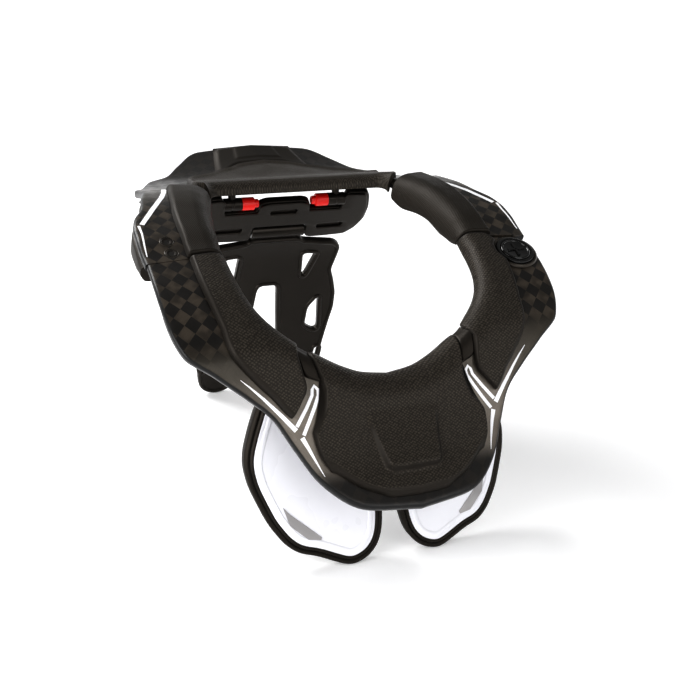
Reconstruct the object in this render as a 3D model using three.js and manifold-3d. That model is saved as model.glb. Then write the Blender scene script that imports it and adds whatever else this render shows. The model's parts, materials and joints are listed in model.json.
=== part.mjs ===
// Neck brace for off-road riding: a hinged ring of two rigid shells with foam pads, two chest plates
// and a folding back strut. Millimetres, +Z up, the wearer faces -Y and +X is the wearer's left.
import * as THREE from 'three';
import { mergeVertices } from 'three/addons/utils/BufferGeometryUtils.js';
import { TessellateModifier } from 'three/addons/modifiers/TessellateModifier.js';
import Module from 'manifold-3d';

const wasm = await Module();
wasm.setup();

// Ring: half widths, reach ahead of and behind the split line, and heights of its upper surface
const FRONT_HALF_WIDTH = 145;
const REAR_WIDENING = 2;
const REAR_HALF_WIDTH = FRONT_HALF_WIDTH + REAR_WIDENING;
const FRONT_REACH = 131;
const FRONT_DROP = 143.5;
const REAR_REACH = 249;
const REAR_RISE = 45;
const SPLIT_HEIGHT = 204.5;
const SPLIT_GAP = 0.6;
const SADDLE_RISE = 6.2;
const SADDLE_HALF_WIDTH = 104;

// Walls, pads and running clearances
const SHELL_WALL = 3.5;
const RIM_DEPTH = 6;
const RIM_FOOT = 4.5;
const RIM_ROUND = 3;
const LIP_WIDTH = 16;
const PAD_THICKNESS = 4.5;
const PAD_GAP = 0.7;
const FIT_GAP = 0.3;
const SCOOP_RISE = 4;
const SPINE_CAP_THICKNESS = 3.2;

// Pivot under the release button, at the wearer's left, and the tongue on the other side
const BUTTON_INSET = 18.5;
const BUTTON_X = FRONT_HALF_WIDTH - BUTTON_INSET;
const BUTTON_RUN = -20;
const BUTTON_RADIUS = 11.2;
const BUTTON_HEIGHT = 2.6;
const BUTTON_TRAVEL = 2;
const BUTTON_SLOT = 2.2;
const CORNER_RADIUS = 18.3;
const BEZEL_RADIUS = 14.6;
const BEZEL_HEIGHT = 3.4;
const LUG_RADIUS = 13.5;
const LUG_THICKNESS = 3.5;
const LUG_REACH = 42;
const LUG_CHAMFER = 3;
const TURN_GAP = 0.4;
const BEZEL_GAP = 1;
const BEZEL_SIDE = 10;
const LUG_GAP = 0.8;
const SCREW_RADIUS = 4.2;
const SCREW_DEPTH = 2.2;
const SCREW_SOCKET = 1.9;
const SCREW_INSET = 18.8;
const SCREW_SHIFT = 1;
const SCREW_RUN = 10;
const SCREW_PITCH = 12;

// Upper back plate and its two adjusting pins
const PLATE_TOP_Y = 149;
const PLATE_TOP_Z = 208.8;
const PLATE_LEAN = 0.7045;
const PLATE_THICKNESS = 9;
const PLATE_HALF_WIDTH = 79.7;
const PLATE_HEIGHT = 57;
const PIN_RADIUS = 5.5;
const PIN_CORE_RADIUS = 2;
const PIN_LENGTH = 30.4;
const PIN_SLEEVE_SHARE = 0.52;
const PIN_DROP = -7.5;
const PIN_STEM = 6;
const NOTCH_GAP = 0.5;
const PIN_SEAT = 3;
const PIN_STEP = 3.5;
const PIN_STEP_SHARE = 0.66;

// Folding strut
const HINGE_DROP = 29.9;
const BARREL_RADIUS = 6;
const BARREL_HALF_LENGTH = 24;
const HINGE_PIN_RADIUS = 2.2;
const HINGE_PIN_SEAT = 10;
const NECK_TOP = 1;
const NECK_LENGTH = 15;
const NECK_INSET = 1;
const STRUT_HALF_WIDTH = 70;
const STRUT_LENGTH = 191.3;
const STRUT_THICKNESS = 7;

// Chest plates and the foam behind them
const CHEST_HALF_WIDTH = 99;
const CHEST_HEIGHT = 117;
const CHEST_PLATE_WALL = 2.4;
const CHEST_FOAM_THICKNESS = 7;
const CHEST_FOAM_BORDER = 4.5;
const CHEST_FORWARD = 92;
const CHEST_SLOPE = 0.32;
const CHEST_CURVE = 0.0008;
const BRACKET_INNER = 54;
const BRACKET_WIDTH = 18;
const BRACKET_DEPTH = 18;
const BRACKET_LOW = 138;
const BRACKET_HIGH = 122;
const BRACKET_TOP = CHEST_HEIGHT - 5;
const BRACKET_GAP = 0.5;

// Finishes
const FINISH = {
  carbon: { color: 0x2b2724, roughness: 0.38, metalness: 0.1 },
  foam: { color: 0x1c1a18, roughness: 0.7, metalness: 0 },
  plastic: { color: 0x191817, roughness: 0.5, metalness: 0 },
  white: { color: 0xf1f1f4, roughness: 0.35, metalness: 0 },
  red: { color: 0xd81e14, roughness: 0.4, metalness: 0 },
  steel: { color: 0x55534f, roughness: 0.35, metalness: 0.8 },
};

// Side profile of the ring's upper surface, as shares of reach and of drop or rise
const FRONT_PROFILE = [
  { reach: 1, drop: 1 },
  { reach: 0.901, drop: 0.913 },
  { reach: 0.821, drop: 0.836 },
  { reach: 0.759, drop: 0.76 },
  { reach: 0.698, drop: 0.669 },
  { reach: 0.644, drop: 0.563 },
  { reach: 0.592, drop: 0.47 },
  { reach: 0.519, drop: 0.348 },
  { reach: 0.466, drop: 0.293 },
  { reach: 0.374, drop: 0.21 },
  { reach: 0.203, drop: 0.098 },
];
const REAR_PROFILE = [
  { reach: 0, rise: 0 },
  { reach: 0.04, rise: 0.111 },
  { reach: 0.092, rise: 0.278 },
  { reach: 0.153, rise: 0.422 },
  { reach: 0.197, rise: 0.511 },
  { reach: 0.261, rise: 0.622 },
  { reach: 0.341, rise: 0.7 },
  { reach: 0.438, rise: 0.744 },
  { reach: 0.474, rise: 0.722 },
  { reach: 0.562, rise: 0.667 },
  { reach: 0.663, rise: 0.611 },
  { reach: 0.763, rise: 0.607 },
  { reach: 0.815, rise: 0.633 },
  { reach: 0.863, rise: 0.7 },
  { reach: 0.924, rise: 0.822 },
  { reach: 1, rise: 1 },
];

// Ring outlines from the split (at 0) to the middle (at 1): inner and outer edge, x as a share of
// the half width and run as a share of the distance from the split to the end rim. lip is how far
// the inner edge rolls down, skirt how far the pad hangs down inside it, rim the outer edge's depth
const FRONT_RING = [
  { at: 0, inX: 0.641, inRun: -0.02, outX: 1, outRun: 0.0015, lip: 3, skirt: 8, rim: 0.6 },
  { at: 0.1, inX: 0.634, inRun: 0.066, outX: 0.997, outRun: 0.151, lip: 3.5, skirt: 9, rim: 0.6 },
  { at: 0.2, inX: 0.617, inRun: 0.166, outX: 0.984, outRun: 0.291, lip: 4, skirt: 9, rim: 1 },
  { at: 0.3, inX: 0.586, inRun: 0.247, outX: 0.941, outRun: 0.4, lip: 4.5, skirt: 9, rim: 1 },
  { at: 0.4, inX: 0.538, inRun: 0.31, outX: 0.816, outRun: 0.486, lip: 5.5, skirt: 10, rim: 1 },
  { at: 0.5, inX: 0.476, inRun: 0.363, outX: 0.69, outRun: 0.568, lip: 6.5, skirt: 11, rim: 1 },
  { at: 0.6, inX: 0.407, inRun: 0.411, outX: 0.589, outRun: 0.645, lip: 7.5, skirt: 12, rim: 1 },
  { at: 0.7, inX: 0.331, inRun: 0.453, outX: 0.51, outRun: 0.756, lip: 8, skirt: 13, rim: 1 },
  { at: 0.8, inX: 0.234, inRun: 0.499, outX: 0.428, outRun: 0.866, lip: 8, skirt: 13, rim: 1 },
  { at: 0.9, inX: 0.124, inRun: 0.531, outX: 0.262, outRun: 0.97, lip: 8, skirt: 13, rim: 1 },
  { at: 1, inX: 0, inRun: 0.544, outX: 0, outRun: 1, lip: 8, skirt: 13, rim: 1 },
];
const REAR_RING = [
  { at: 0, inX: 0.633, inRun: 0.018, outX: 0.993, outRun: 0.001, lip: 3, skirt: 9, rim: 1 },
  { at: 0.08, inX: 0.629, inRun: 0.062, outX: 1, outRun: 0.07, lip: 5, skirt: 14, rim: 1 },
  { at: 0.16, inX: 0.619, inRun: 0.124, outX: 1, outRun: 0.139, lip: 7, skirt: 17, rim: 1 },
  { at: 0.24, inX: 0.605, inRun: 0.193, outX: 0.98, outRun: 0.205, lip: 8, skirt: 16, rim: 1 },
  { at: 0.32, inX: 0.585, inRun: 0.263, outX: 0.925, outRun: 0.271, lip: 8, skirt: 18, rim: 1 },
  { at: 0.4, inX: 0.561, inRun: 0.333, outX: 0.898, outRun: 0.356, lip: 7, skirt: 20, rim: 1 },
  { at: 0.48, inX: 0.537, inRun: 0.391, outX: 0.864, outRun: 0.445, lip: 5, skirt: 16, rim: 1 },
  { at: 0.56, inX: 0.517, inRun: 0.433, outX: 0.864, outRun: 0.561, lip: 3, skirt: 9, rim: 1 },
  { at: 0.63, inX: 0.476, inRun: 0.458, outX: 0.796, outRun: 0.673, lip: 2.5, skirt: 8, rim: 1 },
  { at: 0.7, inX: 0.395, inRun: 0.468, outX: 0.707, outRun: 0.805, lip: 2.5, skirt: 8, rim: 1 },
  { at: 0.78, inX: 0.299, inRun: 0.472, outX: 0.599, outRun: 0.839, lip: 2.5, skirt: 8, rim: 1 },
  { at: 0.85, inX: 0.204, inRun: 0.474, outX: 0.497, outRun: 0.913, lip: 2.5, skirt: 8, rim: 1 },
  { at: 0.92, inX: 0.095, inRun: 0.476, outX: 0.34, outRun: 0.992, lip: 2.5, skirt: 8, rim: 1 },
  { at: 1, inX: 0, inRun: 0.476, outX: 0, outRun: 1, lip: 2.5, skirt: 8, rim: 1 },
];

// Pad outlines along the ring: from and to are shares of the way from inner to outer edge, and wrap
// says how much of the pad's inner side rolls over the shell's inner edge, hang how much of its skirt
// hangs down inside it
const FRONT_SIDE_PAD = [
  { at: 0.003, from: 0, to: 0.442, wrap: 1, hang: 1 },
  { at: 0.1, from: 0, to: 0.45, wrap: 1, hang: 1 },
  { at: 0.2, from: 0, to: 0.447, wrap: 1, hang: 1 },
  { at: 0.3, from: 0, to: 0.49, wrap: 1, hang: 1 },
  { at: 0.4, from: 0, to: 0.7, wrap: 1, hang: 1 },
  { at: 0.5, from: 0, to: 0.79, wrap: 1, hang: 1 },
  { at: 0.57, from: 0, to: 0.815, wrap: 1, hang: 0 },
  { at: 0.6, from: 0.13, to: 0.825, wrap: 0, hang: 0 },
  { at: 0.63, from: 0.3, to: 0.825, wrap: 0, hang: 0 },
  { at: 0.655, from: 0.62, to: 0.815, wrap: 0, hang: 0 },
  { at: 0.663, from: 0.76, to: 0.81, wrap: 0, hang: 0 },
];
const REAR_SIDE_PAD = [
  { at: 0.003, from: 0, to: 0.45, wrap: 1, hang: 1 },
  { at: 0.08, from: 0, to: 0.45, wrap: 1, hang: 1 },
  { at: 0.16, from: 0, to: 0.466, wrap: 1, hang: 1 },
  { at: 0.24, from: 0, to: 0.5, wrap: 1, hang: 1 },
  { at: 0.32, from: 0, to: 0.57, wrap: 1, hang: 1 },
  { at: 0.4, from: 0, to: 0.59, wrap: 1, hang: 1 },
  { at: 0.49, from: 0, to: 0.625, wrap: 1, hang: 1 },
];
const PLATFORM_PAD = [
  { at: 0.53, from: 0, to: 0.14, wrap: 1, hang: 1 },
  { at: 0.56, from: 0, to: 0.2, wrap: 1, hang: 1 },
  { at: 0.63, from: 0, to: 0.3, wrap: 1, hang: 1 },
  { at: 0.7, from: 0, to: 0.5, wrap: 1, hang: 1 },
  { at: 0.78, from: 0, to: 0.67, wrap: 1, hang: 1 },
  { at: 0.85, from: 0, to: 0.615, wrap: 1, hang: 1 },
  { at: 0.92, from: 0, to: 0.62, wrap: 1, hang: 1 },
  { at: 0.96, from: 0, to: 0.7, wrap: 1, hang: 1 },
  { at: 1, from: 0, to: 0.715, wrap: 1, hang: 1 },
];
// Front pad: where its side edge lies on the ring at each share, and where its lower edge lies
const FRONT_PAD_SIDE = [
  { share: 0, at: 0.64 },
  { share: 0.2, at: 0.7 },
  { share: 0.27, at: 0.715 },
  { share: 0.38, at: 0.725 },
  { share: 0.62, at: 0.72 },
  { share: 0.7, at: 0.765 },
  { share: 0.8, at: 0.8 },
  { share: 0.9, at: 0.84 },
];
const FRONT_PAD_FOOT = [
  { span: 0, share: 0.91 },
  { span: 0.35, share: 0.925 },
  { span: 0.5, share: 0.88 },
  { span: 0.75, share: 0.845 },
  { span: 1, share: 0.87 },
];
// Foam block under the rear arm: depths below the ring's upper surface
const SHOULDER_PAD = [
  { at: 0.03, top: 8.2, inner: 13, outer: 20 },
  { at: 0.14, top: 8.2, inner: 15, outer: 29 },
  { at: 0.24, top: 8.2, inner: 15, outer: 30 },
  { at: 0.33, top: 4.3, inner: 17, outer: 24 },
  { at: 0.42, top: 4.3, inner: 17, outer: 15 },
  { at: 0.5, top: 4.3, inner: 12, outer: 10.5 },
];

// Half outline of a chest plate, as shares of the half width and of the height
const CHEST_OUTLINE = [
  { x: 0.82, z: 1 },
  { x: 0.87, z: 0.949 },
  { x: 0.934, z: 0.829 },
  { x: 0.987, z: 0.709 },
  { x: 1, z: 0.624 },
  { x: 0.98, z: 0.513 },
  { x: 0.93, z: 0.402 },
  { x: 0.879, z: 0.299 },
  { x: 0.788, z: 0.188 },
  { x: 0.697, z: 0.128 },
  { x: 0.566, z: 0.098 },
  { x: 0.465, z: 0.06 },
  { x: 0.364, z: 0.026 },
  { x: 0.283, z: 0.028 },
  { x: 0.192, z: 0.06 },
  { x: 0.121, z: 0.12 },
  { x: 0.081, z: 0.197 },
  { x: 0.061, z: 0.308 },
  { x: 0.072, z: 0.6 },
  { x: 0.24, z: 0.9 },
  { x: 0.5, z: 1 },
];
// Half outline of the back plate: x as a share of its half width, down as a share of its height
const PLATE_OUTLINE = [
  { x: 0, down: -0.29 },
  { x: 0.188, down: -0.29 },
  { x: 0.262, down: -0.22 },
  { x: 0.292, down: -0.15 },
  { x: 0.292, down: 0 },
  { x: 0.683, down: 0 },
  { x: 0.683, down: -0.24 },
  { x: 0.716, down: -0.3 },
  { x: 0.928, down: -0.281 },
  { x: 0.964, down: -0.184 },
  { x: 1, down: 0.07 },
  { x: 0.992, down: 0.33 },
  { x: 0.927, down: 0.526 },
  { x: 0.818, down: 0.66 },
  { x: 0.557, down: 0.682 },
  { x: 0.368, down: 0.682 },
  { x: 0.32, down: 0.61 },
  { x: 0.32, down: 0.36 },
  { x: 0, down: 0.36 },
];
// Half outline of the strut: x as a share of its half width, down as a share of its length
const STRUT_OUTLINE = [
  { x: 0, down: 0.052 },
  { x: 0.32, down: 0.052 },
  { x: 0.386, down: 0.073 },
  { x: 0.829, down: 0.099 },
  { x: 0.929, down: 0.131 },
  { x: 0.921, down: 0.183 },
  { x: 0.871, down: 0.282 },
  { x: 0.929, down: 0.34 },
  { x: 0.991, down: 0.426 },
  { x: 1, down: 0.518 },
  { x: 0.961, down: 0.596 },
  { x: 0.914, down: 0.706 },
  { x: 0.879, down: 0.808 },
  { x: 0.871, down: 0.889 },
  { x: 0.843, down: 0.946 },
  { x: 0.757, down: 0.983 },
  { x: 0.614, down: 1 },
  { x: 0.471, down: 0.988 },
  { x: 0.371, down: 0.957 },
  { x: 0.314, down: 0.899 },
  { x: 0.271, down: 0.836 },
  { x: 0.214, down: 0.68 },
  { x: 0.171, down: 0.523 },
  { x: 0.136, down: 0.376 },
  { x: 0.1, down: 0.35 },
  { x: 0, down: 0.35 },
];
const STRUT_HOLES = [
  [
    { x: 0.429, down: 0.162 },
    { x: 0.623, down: 0.17 },
    { x: 0.5, down: 0.303 },
    { x: 0.457, down: 0.303 },
  ],
  [
    { x: 0.753, down: 0.444 },
    { x: 0.623, down: 0.507 },
    { x: 0.604, down: 0.617 },
    { x: 0.739, down: 0.651 },
    { x: 0.799, down: 0.646 },
  ],
  [
    { x: 0.8, down: 0.768 },
    { x: 0.86, down: 0.768 },
    { x: 0.84, down: 0.847 },
    { x: 0.78, down: 0.847 },
  ],
];
// Side profile of the strut's middle surface, as shares of its length back and down from the hinge
const STRUT_PROFILE = [
  { back: 0, down: 0 },
  { back: 0.105, down: 0.144 },
  { back: 0.185, down: 0.302 },
  { back: 0.246, down: 0.441 },
  { back: 0.354, down: 0.729 },
  { back: 0.428, down: 0.906 },
];

// Monotone cubic through the rows of a table
function curve(knots, values) {
  const slopes = knots.map((knot, i) => {
    if (i === 0 || i === knots.length - 1) return 0;
    const before = (values[i] - values[i - 1]) / (knot - knots[i - 1]);
    const after = (values[i + 1] - values[i]) / (knots[i + 1] - knot);
    return before * after <= 0 ? 0 : (2 * before * after) / (before + after);
  });
  const last = knots.length - 1;
  slopes[0] = (values[1] - values[0]) / (knots[1] - knots[0]);
  slopes[last] = (values[last] - values[last - 1]) / (knots[last] - knots[last - 1]);
  return (t) => {
    let i = 0;
    while (i < last - 1 && t > knots[i + 1]) i += 1;
    const span = knots[i + 1] - knots[i];
    const u = (t - knots[i]) / span;
    const h = u * u * (3 - 2 * u);
    return (
      values[i] * (1 - h) + values[i + 1] * h +
      span * u * (1 - u) * (slopes[i] * (1 - u) - slopes[i + 1] * u)
    );
  };
}
const column = (rows, key, by = 'at') => curve(rows.map((r) => r[by]), rows.map((r) => r[key]));
const smooth = (t) => {
  const u = Math.min(1, Math.max(0, t));
  return u * u * (3 - 2 * u);
};

// The ring's upper surface: run is the distance along the side profile, negative ahead of the split
const profilePoints = [
  ...FRONT_PROFILE.map((r) => [-r.reach * FRONT_REACH, SPLIT_HEIGHT - r.drop * FRONT_DROP]),
  ...REAR_PROFILE.map((r) => [r.reach * REAR_REACH, SPLIT_HEIGHT + r.rise * REAR_RISE]),
];
const profileRuns = [0];
for (let i = 1; i < profilePoints.length; i += 1) {
  const [a, b] = [profilePoints[i - 1], profilePoints[i]];
  profileRuns.push(profileRuns[i - 1] + Math.hypot(b[0] - a[0], b[1] - a[1]));
}
const FRONT_RUN = profileRuns[FRONT_PROFILE.length];
const REAR_RUN = profileRuns[profileRuns.length - 1] - FRONT_RUN;
const runs = profileRuns.map((r) => r - FRONT_RUN);
const profileY = curve(runs, profilePoints.map((p) => p[0]));
const profileZ = curve(runs, profilePoints.map((p) => p[1]));

function deck(x, run, up = 0) {
  const step = 0.5;
  const dy = profileY(run + step) - profileY(run - step);
  const dz = profileZ(run + step) - profileZ(run - step);
  const size = Math.hypot(dy, dz);
  const saddle = SADDLE_RISE * Math.max(0, 1 - Math.abs(x) / SADDLE_HALF_WIDTH);
  const lift = saddle * smooth((run / REAR_RUN - 0.64) / 0.15);
  return new THREE.Vector3(
    x,
    profileY(run) - (dz / size) * up,
    profileZ(run) + lift + (dy / size) * up,
  );
}

// Inner and outer edge of a half ring at a share of its way from the split to the middle
function ringEdges(rows, halfWidth, run) {
  const inX = column(rows, 'inX');
  const inRun = column(rows, 'inRun');
  const outX = column(rows, 'outX');
  const outRun = column(rows, 'outRun');
  return (at) => ({
    inner: [inX(at) * halfWidth, inRun(at) * run],
    outer: [outX(at) * halfWidth, outRun(at) * run],
  });
}
const frontEdges = ringEdges(FRONT_RING, FRONT_HALF_WIDTH, -FRONT_RUN);
const rearEdges = ringEdges(REAR_RING, REAR_HALF_WIDTH, REAR_RUN);
const ROUND_UNTIL = 0.06;

// Over the pivot the front shell's outer corner is rounded about the release button
function pivotEdges(at) {
  const edges = frontEdges(at);
  if (at < ROUND_UNTIL) {
    const turn = (Math.PI / 2) * (1 - at / ROUND_UNTIL);
    const cornerRun = BUTTON_RUN + CORNER_RADIUS * Math.sin(turn);
    edges.outer = [BUTTON_X + CORNER_RADIUS * Math.cos(turn), Math.min(cornerRun, -SPLIT_GAP / 2)];
  }
  return edges;
}
const front = {
  edges: { left: pivotEdges, right: frontEdges },
  lip: column(FRONT_RING, 'lip'),
  skirt: column(FRONT_RING, 'skirt'),
  rim: column(FRONT_RING, 'rim'),
};
const rear = {
  edges: { left: rearEdges, right: rearEdges },
  lip: column(REAR_RING, 'lip'),
  skirt: column(REAR_RING, 'skirt'),
  rim: column(REAR_RING, 'rim'),
};

// A place on a ring: share of the way from inner to outer edge, plus millimetres across and up
function ringPlace(ring, side, at, share, across, up) {
  const { inner, outer } = ring.edges[side](at);
  const length = Math.hypot(outer[0] - inner[0], outer[1] - inner[1]);
  const u = share + across / length;
  const x = inner[0] + (outer[0] - inner[0]) * u;
  const run = inner[1] + (outer[1] - inner[1]) * u;
  const point = deck(x, run, up);
  if (side === 'right') point.x = -point.x;
  return point;
}
function ringWidth(ring, side, at) {
  const { inner, outer } = ring.edges[side](at);
  return Math.hypot(outer[0] - inner[0], outer[1] - inner[1]);
}

// How far the surface has rolled down at a distance from the inner edge, as a share of the lip
const LIP_ROLL = curve([0, 1.5, 5, 10, LIP_WIDTH], [1.15, 1, 0.45, 0.12, 0]);

function shellSection(ring, at) {
  const lip = ring.lip(at);
  const rim = SHELL_WALL + (RIM_DEPTH - SHELL_WALL) * smooth((ring.rim(at) - 0.6) / 0.4);
  const rolled = [1.5, 5, 10, LIP_WIDTH];
  const between = [0.15, 0.3, 0.5, 0.7, 0.85];
  const under = [0.25, 0.7];
  return [
    ...rolled.map((across) => ({ share: 0, across, up: -lip * LIP_ROLL(across) })),
    ...between.map((t) => ({ share: t, across: LIP_WIDTH * (1 - t) - RIM_FOOT * t, up: 0 })),
    { share: 1, across: -RIM_ROUND, up: 0 },
    { share: 1, across: -0.7, up: -0.9 },
    { share: 1, across: 0, up: -2.6 },
    { share: 1, across: -0.5, up: -rim },
    { share: 1, across: -RIM_ROUND, up: -rim },
    { share: 1, across: -RIM_FOOT, up: -SHELL_WALL },
    ...under.toReversed().map((t) => (
      { share: t, across: LIP_WIDTH * (1 - t) - RIM_FOOT * t, up: -SHELL_WALL }
    )),
    ...rolled.toReversed().map((across) => (
      { share: 0, across: across + 1.5, up: -SHELL_WALL - lip * LIP_ROLL(across + 1) }
    )),
    { share: 0, across: 1.5, up: -SHELL_WALL - lip * LIP_ROLL(1.5) },
  ];
}

// Below this width a pad's rounded edges narrow with it
const NARROW_PAD = 40;

// A pad's section: its top, the roll over the inner edge, the skirt inside it and its underside
function padSection(ring, at, pad, width, between, thin = 1, lift = () => 0) {
  const lip = ring.lip(at);
  const skirt = ring.skirt(at);
  const top = PAD_GAP + PAD_THICKNESS * thin;
  const wrap = pad.wrap;
  const hem = lip + 1 + pad.hang * Math.max(skirt - lip - 1, 4);
  const span = (pad.to - pad.from) * width;
  const k = Math.min(1, span / NARROW_PAD);
  const wrapped = [
    { across: LIP_WIDTH * k, up: top },
    { across: 9 * k, up: top - lip * LIP_ROLL(9) },
    { across: 4 * k, up: top - lip * LIP_ROLL(5) },
    { across: 0, up: top - 1 - lip },
    { across: -2.6, up: top - 3.6 - lip },
    { across: -3.4, up: 2 - hem },
    { across: -2.6, up: -hem },
    { across: 0.4, up: -hem },
    { across: 0.4, up: -lip * 0.9 - 1 },
    { across: 0.9, up: PAD_GAP + 0.2 - lip },
    { across: 5 * k, up: PAD_GAP - lip * LIP_ROLL(5.6 * k) + 0.2 },
    { across: 10 * k, up: PAD_GAP - lip * LIP_ROLL(10.5 * k) },
    { across: LIP_WIDTH * k, up: PAD_GAP - lip * LIP_ROLL(LIP_WIDTH * k) },
  ];
  const plain = [
    { across: 9 * k, up: top },
    { across: 6 * k, up: top },
    { across: 3.4 * k, up: top },
    { across: 1.8 * k, up: top - 0.8 * thin },
    { across: 0.6 * k, up: top - 2.4 * thin },
    { across: 0.2 * k, up: PAD_GAP + 1.2 * thin },
    { across: 0, up: PAD_GAP + 0.6 * thin },
    { across: 0, up: PAD_GAP + 0.3 * thin },
    { across: 0, up: PAD_GAP },
    { across: 1 * k, up: PAD_GAP },
    { across: 3 * k, up: PAD_GAP },
    { across: 6 * k, up: PAD_GAP },
    { across: 9 * k, up: PAD_GAP },
  ];
  const rows = wrapped.map((w, i) => ({
    share: pad.from,
    across: w.across * wrap + plain[i].across * (1 - wrap),
    up: w.up * wrap + plain[i].up * (1 - wrap),
  }));
  const start = rows[0].across;
  const row = (t, up) => (
    { share: pad.from + (pad.to - pad.from) * t, across: start * (1 - t) - 3.6 * k * t, up }
  );
  return [
    { share: pad.to, across: 0, up: PAD_GAP },
    { share: pad.to, across: -0.5 * k, up: PAD_GAP + 1.2 * thin },
    ...[...between, 1].toReversed().map((t) => row(t, top + lift(pad.from + (pad.to - pad.from) * t))),
    ...rows,
    ...between.map((t) => row(t, PAD_GAP)),
  ];
}

// Closed body through a row of closed loops with as many points each; flat gives the ends' shapes
function loft(loops, flats) {
  const count = loops[0].length;
  const positions = [];
  loops.forEach((loop) => loop.forEach((p) => positions.push(p.x, p.y, p.z)));
  const index = [];
  for (let i = 0; i < loops.length - 1; i += 1) {
    for (let j = 0; j < count; j += 1) {
      const a = i * count + j;
      const b = i * count + ((j + 1) % count);
      index.push(a, b, a + count, b, b + count, a + count);
    }
  }
  const area = THREE.ShapeUtils.area(flats[0]);
  const cap = THREE.ShapeUtils.triangulateShape(flats[0].map((p) => p.clone()), []);
  const capEnd = THREE.ShapeUtils.triangulateShape(flats[1].map((p) => p.clone()), []);
  const addCap = (faces, flat, offset, flip) => {
    faces.forEach((face) => {
      const turn = THREE.ShapeUtils.area(face.map((k) => flat[k])) * area > 0;
      const order = turn === flip ? [face[0], face[1], face[2]] : [face[0], face[2], face[1]];
      index.push(...order.map((k) => k + offset));
    });
  };
  addCap(cap, flats[0], 0, false);
  addCap(capEnd, flats[1], (loops.length - 1) * count, true);
  const geometry = new THREE.BufferGeometry();
  geometry.setAttribute('position', new THREE.Float32BufferAttribute(positions, 3));
  geometry.setIndex(index);
  return outward(geometry);
}

// Turns every face when the body's faces point inwards
function outward(geometry) {
  const p = geometry.attributes.position;
  const index = geometry.index.array;
  const [a, b, c] = [new THREE.Vector3(), new THREE.Vector3(), new THREE.Vector3()];
  let volume = 0;
  for (let i = 0; i < index.length; i += 3) {
    a.fromBufferAttribute(p, index[i]);
    b.fromBufferAttribute(p, index[i + 1]);
    c.fromBufferAttribute(p, index[i + 2]);
    volume += a.dot(b.cross(c));
  }
  if (volume < 0) {
    for (let i = 0; i < index.length; i += 3) {
      [index[i + 1], index[i + 2]] = [index[i + 2], index[i + 1]];
    }
  }
  return geometry;
}

// Lofts ring sections; each station names its side, place and section
function ringBody(ring, stations) {
  const loops = stations.map(({ side, at, section }) => (
    section.map((s) => ringPlace(ring, side, at, s.share, s.across, s.up))
  ));
  const flatten = ({ side, at, section }) => {
    const width = ringWidth(ring, side, at);
    return section.map((s) => new THREE.Vector2(s.share * width + s.across, s.up));
  };
  return loft(loops, [flatten(stations[0]), flatten(stations[stations.length - 1])]);
}
const spread = (from, to, count) => (
  Array.from({ length: count + 1 }, (_, i) => from + ((to - from) * i) / count)
);

function toSolid(geometry) {
  const bare = new THREE.BufferGeometry();
  bare.setAttribute('position', geometry.attributes.position.clone());
  if (geometry.index) bare.setIndex(geometry.index.clone());
  const merged = mergeVertices(bare, 1e-4);
  return new wasm.Manifold(new wasm.Mesh({
    numProp: 3,
    vertProperties: new Float32Array(merged.attributes.position.array),
    triVerts: new Uint32Array(merged.index.array),
  }));
}
function toGeometry(solid) {
  const mesh = solid.getMesh();
  const geometry = new THREE.BufferGeometry();
  geometry.setAttribute('position', new THREE.BufferAttribute(mesh.vertProperties, 3));
  geometry.setIndex(new THREE.BufferAttribute(mesh.triVerts, 1));
  return geometry;
}

// A round bar along an axis, from one point to another
function bar(from, to, radius, sides = 24) {
  const geometry = new THREE.CylinderGeometry(radius, radius, from.distanceTo(to), sides);
  const axis = to.clone().sub(from).normalize();
  const turn = new THREE.Quaternion().setFromUnitVectors(new THREE.Vector3(0, 1, 0), axis);
  geometry.applyQuaternion(turn);
  geometry.translate(...from.clone().add(to).multiplyScalar(0.5).toArray());
  return geometry;
}

// A ring of rectangular section about the Z axis
function washer(inner, outer, low, high, sides = 20) {
  const chamfer = Math.min(0.8, (outer - inner) / 3);
  return new THREE.LatheGeometry([
    new THREE.Vector2(inner, low),
    new THREE.Vector2(outer, low),
    new THREE.Vector2(outer, high - chamfer),
    new THREE.Vector2(outer - chamfer, high),
    new THREE.Vector2(inner, high),
    new THREE.Vector2(inner, low),
  ], sides).rotateX(Math.PI / 2);
}

// Places geometry made about the Z axis on the ring's surface, its Z axis along the normal
function onDeck(geometry, x, run) {
  const origin = deck(x, run);
  const normal = deck(x, run, 1).sub(origin);
  const turn = new THREE.Quaternion().setFromUnitVectors(new THREE.Vector3(0, 0, 1), normal);
  return geometry.applyQuaternion(turn).translate(...origin.toArray());
}

// Outline with its corners rounded by short curves
function roundedPath(points, radius, path) {
  const count = points.length;
  points.forEach((p, i) => {
    const before = points[(i + count - 1) % count];
    const after = points[(i + 1) % count];
    const start = p.clone().lerp(before, Math.min(0.45, radius / p.distanceTo(before)));
    const end = p.clone().lerp(after, Math.min(0.45, radius / p.distanceTo(after)));
    if (i === 0) path.moveTo(start.x, start.y);
    else path.lineTo(start.x, start.y);
    path.quadraticCurveTo(p.x, p.y, end.x, end.y);
  });
  path.closePath();
  return path;
}

// A flat outline given thickness, cut into small faces and bent onto a surface
function bent(shape, low, high, edge, place, corners = 2) {
  const flat = new THREE.ExtrudeGeometry(shape, {
    depth: high - low,
    bevelEnabled: false,
    curveSegments: corners,
  }).translate(0, 0, low);
  flat.deleteAttribute('uv');
  flat.deleteAttribute('normal');
  const fine = mergeVertices(new TessellateModifier(edge, 12).modify(flat), 1e-3);
  const p = fine.attributes.position;
  for (let i = 0; i < p.count; i += 1) {
    p.setXYZ(i, ...place(p.getX(i), p.getY(i), p.getZ(i)).toArray());
  }
  return outward(fine);
}
const mirrored = (points) => [
  ...points,
  ...points.toReversed().filter((p) => p.x > 1e-6).map((p) => new THREE.Vector2(-p.x, p.y)),
];

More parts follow.
